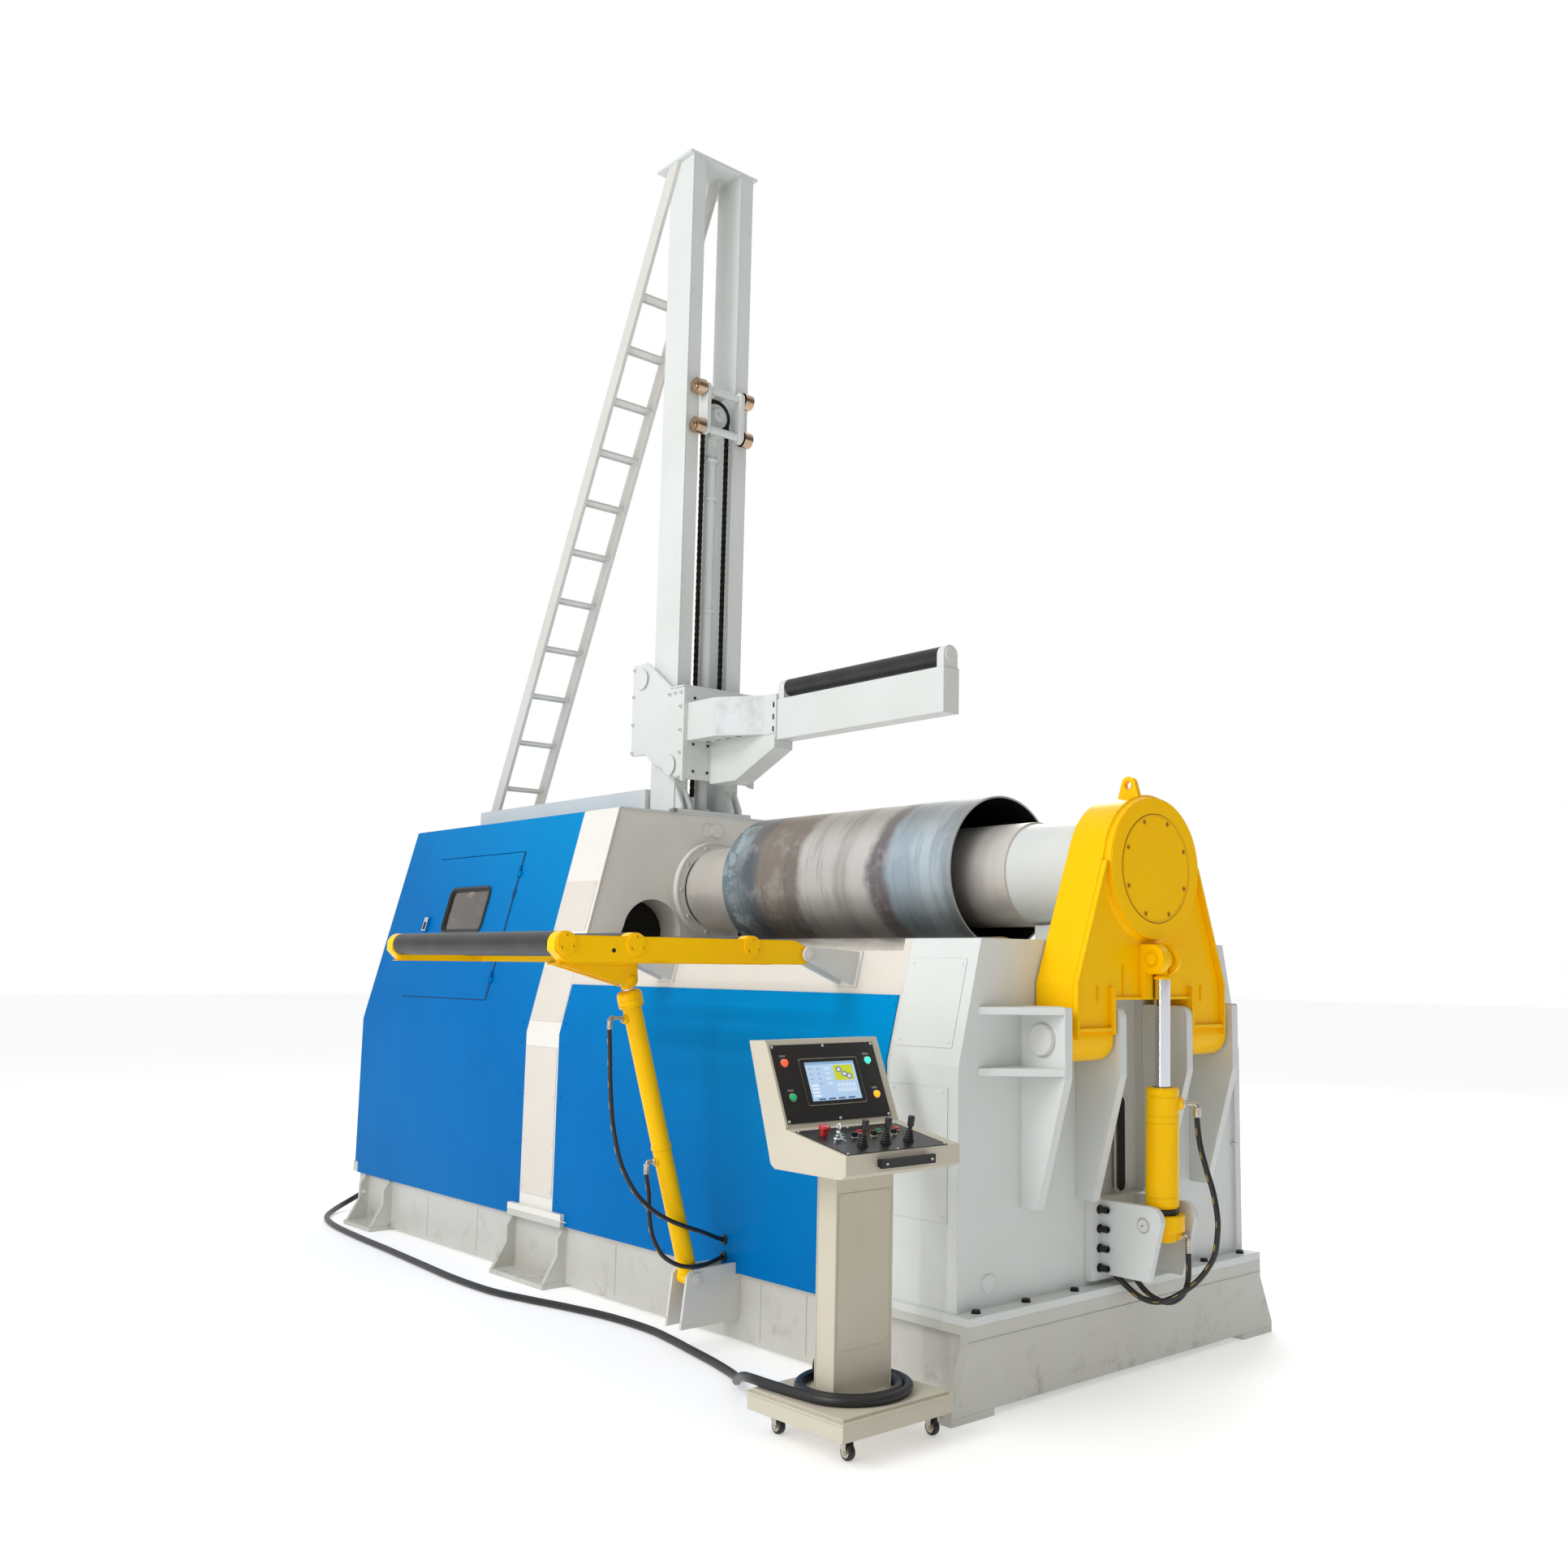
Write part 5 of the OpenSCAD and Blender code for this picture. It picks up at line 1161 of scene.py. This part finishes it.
def addCarriage():
    s, holes = Shape(), Shape()
    for side in (-1, 1):
        y = side * carriage["side"]
        for x, z in carriage["sideBolts"]:
            s.bolt((x, y, z), (0, side, 0), 12, "cap")
        for x, z in carriage["hubs"]:
            s.rod((x, y + side * 10, z), (x, y + side * 12, z), 56, 1)
            for u, v in around(4, 47, 40):
                s.bolt((x + u, y + side * 11, z + v), (0, side, 0), 5, "pan")
        s.box((-420, y - 8, 3030), (-289, y + 8, 3038), 2)
        s.tube([(-662, y, 3210), (-412, y, 3036)], 5, 6)
    s.box((-296, -232, 3030), (-288, 232, 3040), 2)
    top = carriage["armTop"]
    for side in (-1, 1):
        # Folded cheek of the arm head, and the welds of the arm
        s.box((262, side * 54.25 - 3.75, 2705), (276, side * 54.25 + 3.75, 2938), 2)
        s.weld((272, side * 52, 2704), (272, side * 52, 2908), 4)
        s.weld((-286, side * 60, 2520), (-286, side * 60, 2730), 4)
        s.weld((-280, side * 61, top), (262, side * 61, top), 4)
    s.piece("carriageDetails", "white", "carriage")
    # Painted shade: dark discs and slots stand for the holes, slots and bolt sockets
    for y, z in carriage["frontHoles"]:
        holes.rod((-290, y, z), (-285, y, z), 8, 1, 16)
    for x in (-240, -150, -60, 30):
        for y in (-112, 112):
            holes.box((x - 20, y - 5, top + 0.6), (x + 20, y + 5, top + 2.2), 0)
    for side in (-1, 1):
        for z in (2758, 2822, 2886):
            holes.box((246, side * 56 - 1.2, z - 14), (258, side * 56 + 1.2, z + 14), 0.3)
        for x, z in carriage["sideBolts"]:
            at = Vector((x, side * (carriage["side"] + 5.3), z))
            holes.rod(at, at + yDir * side * 0.4, 5, 0.1, 12)
    holes.piece("carriageHoles", "bolt", "carriage", slot="white_paint")
    facet = Shape()
    run = Vector((235, 155, 0)).normalized()
    slanted = Matrix((run, zDir, Vector((run.y, -run.x, 0)))).transposed().to_4x4()
    slanted.translation = Vector((-50, -215, 0)) + run * 12
    facet.box((0, 2742, 0.2), (256, 2936, 0.8), 0, slanted)
    facet.piece("armFacet", "speckle", "carriage")
    caps = Shape()
    z = arm["z"]
    for x, side in arm["caps"]:
        caps.rod((x, 0, z), (x + side * 8, 0, z), 38, 2)
        for at in capRing(x + side * 8, 0, z, arm["boltCircle"]):
            caps.bolt(at, (side, 0, 0), 5, "cap")
    for x in (275, 1445):
        for side in (-1, 1):
            caps.weld((x + 2, side * 46, 2911), (x + 43, side * 46, 2911), 3)
    caps.box((1493.5, -47, 2703), (1496.5, 47, 2909), 1)
    caps.piece("armCaps", "white", "carriage")
    ends = Shape()
    for x in arm["rollerEnds"]:
        ends.ring((x - 1.5, 0, z), (x + 1.5, 0, z), 17, 44, 0.8)
    ends.ring((350, 0, z), (352, 0, z), 44.5, 45.4, 0.3)
    ends.piece("armRollerEnds", "black", "top_arm_roller", slot="black_rubber")


sideSlot = {"top": (366, 1704), "bottom": (450, 1500), "radius": 174, "x": -516}


def addRolls():
    edge = Shape()
    edge.ring((2032.4, 0, rollZ), (2037, 0, rollZ), 208, 214.6, 1.5, 96)
    edge.piece("rollCollarEdge", "white", "top_roll")
    seam = Shape()
    # Weld seam along the bottom of the rolled plate, ground nearly flush
    seam.weld((228, 60, 1635.8), (1822, 60, 1635.8), 3.5)
    seam.piece("shellSeam", "darkSteel", "root", slot="mill_steel")
    slots = Shape()
    (y0, z0), (y1, z1) = sideSlot["top"], sideSlot["bottom"]
    for side in (-1, 1):
        # Painted shadow: a dark sheet at the blind end of a slot that a side roll climbs in
        lean = math.degrees(math.atan2(z0 - z1, side * (y0 - y1)))
        slots.plate(arc(side * y0, z0, sideSlot["radius"], lean - 90, 180, 12)
                    + arc(side * y1, z1, sideSlot["radius"], lean + 90, 180, 12),
                    sideSlot["x"] - 0.4, sideSlot["x"] + 0.4, yzPlane)
    slots.piece("slotShadow", "hole", "root")
    plugs = Shape()
    for side in (-1, 1):
        plugs.ring((-337, side * 30, 2267), (-335.4, side * 30, 2267), 37, 43, 0.6)
    plugs.piece("framePlugs", "white", "root")


def tilted(place, up, out, length):
    # Local X runs along world Y, local Y up the panel and local Z out of it
    return Matrix.Translation(place) @ Matrix(
        (yDir, Vector(up) / length, Vector(out) / length)).transposed().to_4x4()


screenAt = tilted((2227, -1298, 1150.5), (-124, 0, 285), (285, 0, 124), 310.8)
deskAt = tilted((2440, -1298, 980.5), (302, 0, -55), (55, 0, 302), 307)
desk = {
    "side": [(2079, 1289), (2165, 1293), (2289, 1008), (2591, 953), (2593, 891), (2566, 876),
             (2233, 876), (2211, 890)], "wide": (1044, 1552),
    "screenScrews": ((-236, -12, 212), (128, -132)),
    "deskScrews": ((-237, -22, 192), (-111, 143)), "screen": (-118, -70, 103, 67),
    "buttons": {"green": ((-129, -20), (47, -33)), "red": ((-34, -37), (131, -35))},
    "lamps": {"redLamp": (-201, 70), "cyanLamp": (174, 66), "greenLamp": (-199, -51),
              "amberLamp": (176, -59)},
    "stop": (-176, -54), "knobs": ((-97, 9), (-14, 12), (75, 12)), "key": (-174, 13),
    "joysticks": ((-124, 83), (-20, 80), (82, 82)),
    "joystick": [(19, 3.4), (19, 8), (17, 10), (15, 10), (16.5, 14), (13.5, 18), (15, 22),
                 (12, 26), (13.4, 30), (10.5, 34), (11.6, 38), (7, 43), (7, 52), (11, 55),
                 (11.6, 84), (10, 88), (0, 89)],
    "post": (2307, 2400, -1423, -1173)}


def dome(shape, matrix, spot, profile, sides=24):
    shape.lathe(matrix @ Matrix.Translation((*spot, 0)), profile, sides)


def addScreen():
    bezel = Shape()
    bezel.plate(roundedBox(-139.5, 125.5, -85, 83, 9, 5), 3.4, 6.4, screenAt, 1, 1)
    bezel.plate(roundedBox(-135.5, 121.5, -81, 79, 8, 5), 6.0, 9.4, screenAt, 1)
    bezel.piece("screenBezel", ["black", "zinc"], "root")
    screen = Shape()
    u0, v0, u1, v1 = desk["screen"]
    screen.box((u0, v0, 8.6), (u1, v1, 9.9), 0, screenAt)
    glass = screen.piece("screenFace", "screen", "root")
    layer = glass.data.uv_layers.new(name="face")
    back = screenAt.inverted()
    for loop in glass.data.loops:
        p = back @ (glass.data.vertices[loop.vertex_index].co / metre)
        layer.data[loop.index].uv = ((p.x - u0) / (u1 - u0), (p.y - v0) / (v1 - v0))


def addControls():
    collars, labels, keys = Shape(), Shape(), Shape()
    for name, (u, v) in desk["lamps"].items():
        dome(collars, screenAt, (u, v), [(15, 3.4), (15, 6.4), (12.6, 7.4), (12, 7.4)])
        labels.box((u - 13, v + 22, 3.2), (u + 13, v + 29, 3.8), 0.2, screenAt)
        cap = Shape()
        dome(cap, screenAt, (u, v), [(12, 6), (12, 11), (10.6, 15), (7, 17.6), (0, 18.6)])
        cap.piece("lamp_" + name, name, "root")
    caps = {name: Shape() for name in desk["buttons"]}
    for name, spots in desk["buttons"].items():
        for u, v in spots:
            # Blank label plate, collar and cap
            labels.box((u - 10, v - 26, 3.2), (u + 10, v - 21, 3.8), 0.2, deskAt)
            dome(collars, deskAt, (u, v), [(14, 3.4), (14, 8), (12, 9.5), (11, 9.5)])
            dome(caps[name], deskAt, (u, v), [(11, 7), (11, 14), (9.5, 15.5), (0, 15.8)])
    labels.piece("deskLabels", "zinc", "root", slot="black_plastic")
    for name, shape in caps.items():
        shape.piece(name + "Buttons", name, "root")
    stop = Shape()
    dome(stop, deskAt, desk["stop"], [(13, 3), (13, 22), (19, 24), (20.5, 29), (19, 35),
                                      (12, 37.5), (0, 38)], 32)
    stop.piece("stopButton", "red", "root")
    for u, v in desk["knobs"]:
        dome(collars, deskAt, (u, v), [(14, 3.4), (14, 10), (12.5, 11.5), (0, 11.5)])
        keys.box((u - 10, v - 3.4, 11), (u + 10, v + 3.4, 25), 1.6, deskAt)
    keys.piece("selectorKnobs", "black", "root")
    collars.piece("controlCollars", "zinc", "root")
    lock = Shape()
    u, v = desk["key"]
    dome(lock, deskAt, (u, v), [(15, 3.4), (15, 12), (13, 14), (8, 14), (8, 22), (0, 22)])
    lock.box((u - 2, v - 7, 20), (u + 2, v + 7, 46), 1, deskAt)
    lock.ring(deskAt @ Vector((u - 2, v, 50)), deskAt @ Vector((u + 2, v, 50)), 6, 12, 0.8, 24)
    # Chain of the key
    lock.tube([deskAt @ Vector(p) for p in ((-174, 14, 46), (-171, 20, 30), (-166, 32, 14),
                                            (-160, 42, 8))], 2.2, 8)
    lock.piece("keySwitch", "chrome", "root")
    sticks = Shape()
    for spot in desk["joysticks"]:
        dome(sticks, deskAt, spot, desk["joystick"], 28)
    sticks.piece("joysticks", "black", "root", ["desk_controls"])


def addDesk():
    head = Shape()
    head.plate(desk["side"], *desk["wide"], xzPlane, 6)
    head.box((-254, -150, 0), (-244, 148, 3), 1, screenAt)
    head.piece("deskHead", "cream", "root", ["desk_head"])
    panel = Shape()
    panel.box((-244, -139, 0.4), (222, 135, 3.4), 0.8, screenAt)
    panel.box((-244, -118, 0.4), (200, 150, 3.4), 0.8, deskAt)
    panel.piece("deskPanels", "panel", "root")
    screws = Shape()
    for matrix, (across, rows), profile in (
            (screenAt, desk["screenScrews"], [(5.5, 3.3), (5, 5), (3, 6), (0, 6)]),
            (deskAt, desk["deskScrews"], [(5, 3.3), (4.5, 4.8), (3, 5.6), (0, 5.6)])):
        for v in rows:
            for u in across:
                dome(screws, matrix, (u, v), profile, 14)
    screws.piece("deskScrews", "chrome", "root")
    addScreen()
    addControls()
    grip = Shape()
    for y in (-1410, -1210):
        grip.box((2592.6, y - 9, 909), (2612, y + 9, 933), 3)
        grip.bolt((2628, y, 921), xDir, 5, "cap", 1)
    grip.box((2611, -1428, 907), (2628, -1192, 936), 6)
    grip.piece("deskHandle", ["black", "chrome"], "root")
    post = Shape()
    x0, x1, y0, y1 = desk["post"]
    for x in (x0, x1):
        for y in (y0, y1):
            post.rod((x, y, 152), (x, y, 876), 3.2, 0.5, 12)
    post.box((x1 - 0.5, -1412, 300), (x1 + 1.6, -1184, 800), 0.8)
    for z in (790, 310):
        for y in (-1402, -1194):
            post.bolt((x1 + 1.6, y, z), xDir, 4.5, "pan")
    post.weld((x1 + 2, -1420, 153), (x1 + 2, -1176, 153), 3)
    post.box((2096, -1544, 136), (2588, -1052, 143), 3)
    post.piece("deskPostDetails", "cream", "root")
    addCasters()


caster = {"places": [(x, y) for x in (2142, 2492) for y in (-1450, -1077)], "trail": 14,
          "axle": 27, "fork": 17}


def addCasters():
    steel, tyre = Shape(), Shape()
    z = caster["axle"]
    for cx, y in caster["places"]:
        x = cx + caster["trail"]
        steel.box((cx - 26, y - 26, 80), (cx + 34, y + 26, 84.6), 1.5)
        steel.lathe(Matrix.Translation((cx + 4, y, 66)), [(0, 0), (19, 0), (22, 5), (22, 9),
                                                         (16, 15), (0, 15)], 24)
        for side in (-1, 1):
            leg = -y - side * caster["fork"]
            steel.plate([(cx - 12, 68), (cx + 20, 68), (cx + 25, 24), (cx + 8, 18)],
                        leg - 1.4, leg + 1.4, xzPlane, 0.6)
            steel.ring((x, y + side * 12, z), (x, y + side * 13.5, z), 9, 17, 0.5, 24)
        steel.rod((x, y - 21, z), (x, y + 21, z), 5, 1, 12)
        tyre.lathe(along((x, y - 12, z), yDir),
                   [(8, 0), (21, 0), (25.5, 2.5), (27, 7), (27, 17), (25.5, 21.5), (21, 24),
                    (8, 24)], 32)
    steel.piece("casterForks", "zinc", "root", ["desk_casters"])
    tyre.piece("casterTyres", "black", "root")


def smoothPath(points, step=12.0):
    # Catmull-Rom through the points, resampled finely
    points = [Vector(p) for p in points]
    ends = [points[0] * 2 - points[1], *points, points[-1] * 2 - points[-2]]
    path = []
    for i in range(1, len(ends) - 2):
        a, b, c, d = ends[i - 1:i + 3]
        n = max(1, round((c - b).length / step))
        for k in range(n):
            t = k / n
            path.append(0.5 * ((2 * b) + (c - a) * t + (2 * a - 5 * b + 4 * c - d) * t * t
                               + (3 * b - a - 3 * c + d) * t ** 3))
    return path + [points[-1]]


def pathLength(path):
    return sum((b - a).length for a, b in zip(path, path[1:])) * metre


cablePoints = [
    (2248, -1498, 168.4), (2150, -1507, 171), (2063, -1500, 167), (1940, -1440, 137),
    (1807, -1360, 86), (1690, -1275, 42), (1572, -1195, 20), (1380, -1143, 17),
    (1171, -1105, 17), (960, -1068, 17), (762, -1045, 17), (480, -1055, 17), (208, -1100, 17),
    (-60, -1160, 17), (-320, -1205, 17), (-700, -1207, 17), (-1085, -1182, 17),
    (-1550, -1150, 17), (-2016, -1122, 17), (-2450, -1080, 17), (-2740, -1005, 17),
    (-2920, -890, 24), (-2985, -770, 60), (-2960, -680, 110), (-2880, -622, 145),
    (-2790, -600, 160), (-2700, -600, 160)]
tiltHoses = {
    "tiltHoseUpper": ("tilt_hose_upper", 0.022, [
        (2765, 80, 1010), (2765, 80, 965), (2777, 80, 880), (2803, 80, 796), (2834, 80, 709),
        (2851, 80, 622), (2850, 80, 560), (2838, 79, 487), (2811, 74, 434), (2768, 60, 378),
        (2712, 38, 330), (2655, 12, 296), (2606, -12, 290), (2564, -34, 306), (2528, -50, 334),
        (2498, -58, 358), (2470, -63, 380)]),
    "tiltHoseLower": ("tilt_hose_lower", 0.022, [
        (2724, 70, 500), (2724, 70, 465), (2724, 70, 420), (2720, 70, 370), (2700, 69, 322),
        (2660, 66, 288), (2612, 58, 279), (2566, 44, 295), (2534, 29, 325), (2510, 18, 358),
        (2488, 9, 391), (2470, 4, 418)])}
tableHoses = {
    "tableHoseUpper": ("table_hose_upper", 0.018, [
        (1095, -1492, 1318), (1095, -1492, 1270), (1098, -1489, 1200), (1102, -1483, 1061),
        (1110, -1471, 920), (1122, -1440, 779), (1135, -1384, 667), (1146, -1321, 597),
        (1152, -1246, 546), (1152, -1156, 504), (1136, -1053, 467), (1095, -958, 430),
        (1077, -915, 414), (1070, -887, 407)]),
    "tableHoseLower": ("table_hose_lower", 0.018, [
        (1095, -1299, 746), (1095, -1299, 710), (1100, -1288, 638), (1108, -1286, 545),
        (1120, -1274, 467), (1135, -1239, 399), (1147, -1182, 358), (1150, -1113, 338),
        (1130, -1028, 333), (1100, -950, 337), (1078, -912, 339), (1070, -887, 339)])}


# Turns on the desk's base, which widen from the inner to the outer radius
coil = {"centre": (2350, -1300), "turned": 615, "steps": 40, "inner": 157, "widen": 32,
        "widenFrom": 255, "widenOver": 105,
        "start": [(2307, -1345, 262), (2278, -1345, 260), (2248, -1343, 248),
                  (2222, -1338, 228), (2203, -1328, 204), (2194, -1314, 184)],
        "end": [(2399, -1482.6, 168.4), (2350, -1489.5, 168.4), (2300, -1494, 168.4)]}


def coilPoints():
    points = []
    for k in range(coil["steps"]):
        turned = coil["turned"] * k / coil["steps"]
        grown = min(1, max(0, (turned - coil["widenFrom"]) / coil["widenOver"]))
        radius = coil["inner"] + coil["widen"] * grown
        (x, y), = arc(*coil["centre"], radius, 180 - turned, 0, 1)[:1]
        points.append((x, y, 172 - 3.6 * min(1, turned / 40)))
    return coil["start"] + points + coil["end"]


def addLines():
    path = smoothPath(coilPoints() + cablePoints)
    s = Shape()
    s.tube(path, 16, 16)
    cable = s.piece("deskCable", "rubber", "root", ["desk_cable", "cable_coil"])
    print("cable length", round(pathLength(path), 3))
    tuple(path[0] * metre)
    [tuple(p * metre) for p in path]
    for group, body, start, end in (
            (tiltHoses, "tilt_barrel", (2.80, 0.08, 0.86), (2.50, 0.0, 0.36)),
            (tableHoses, "table_barrel", (1.10, -1.45, 1.0), (1.08, -0.92, 0.40))):
        for name, (node, wide, points) in group.items():
            path = smoothPath(points)
            radius = wide / metre / 2
            h = Shape()
            h.tube(path, radius, 16)
            hose = h.piece(name, "rubber", None, [node])
            print(name, "length", round(pathLength(path), 3))
            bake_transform(hose)
            # Printed dashes along one side of the hose
            m = Shape()
            for k in range(6, len(path) - 8, 7):
                way = (path[k + 1] - path[k]).normalized()
                off = way.cross(yDir).cross(way).normalized() * -(radius + 0.1)
                m.tube([path[k] + off, path[k + 1] + off, path[k + 2] + off], 1.4, 6)
            stripe = m.piece(name + "Mark", "mark", None)
            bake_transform(stripe)
            tuple(path[0] * metre)
            round(pathLength(path), 3)
            [tuple(p * metre) for p in path]


addCamera()
makeMaterials()
finishCad()
addFloor()
addLight()
print("camera, materials, floor and light done")
addLines()
print("cable and hoses done")
addHousing()
addBase()
addBrackets()
print("housing, base and brackets done")
addYoke()
addTiltCylinder()
addTableCylinder()
addTable()
print("yoke, cylinders and table done")
addTower()
addCarriage()
addRolls()
print("tower, carriage and rolls done")
addDesk()
print("desk done")
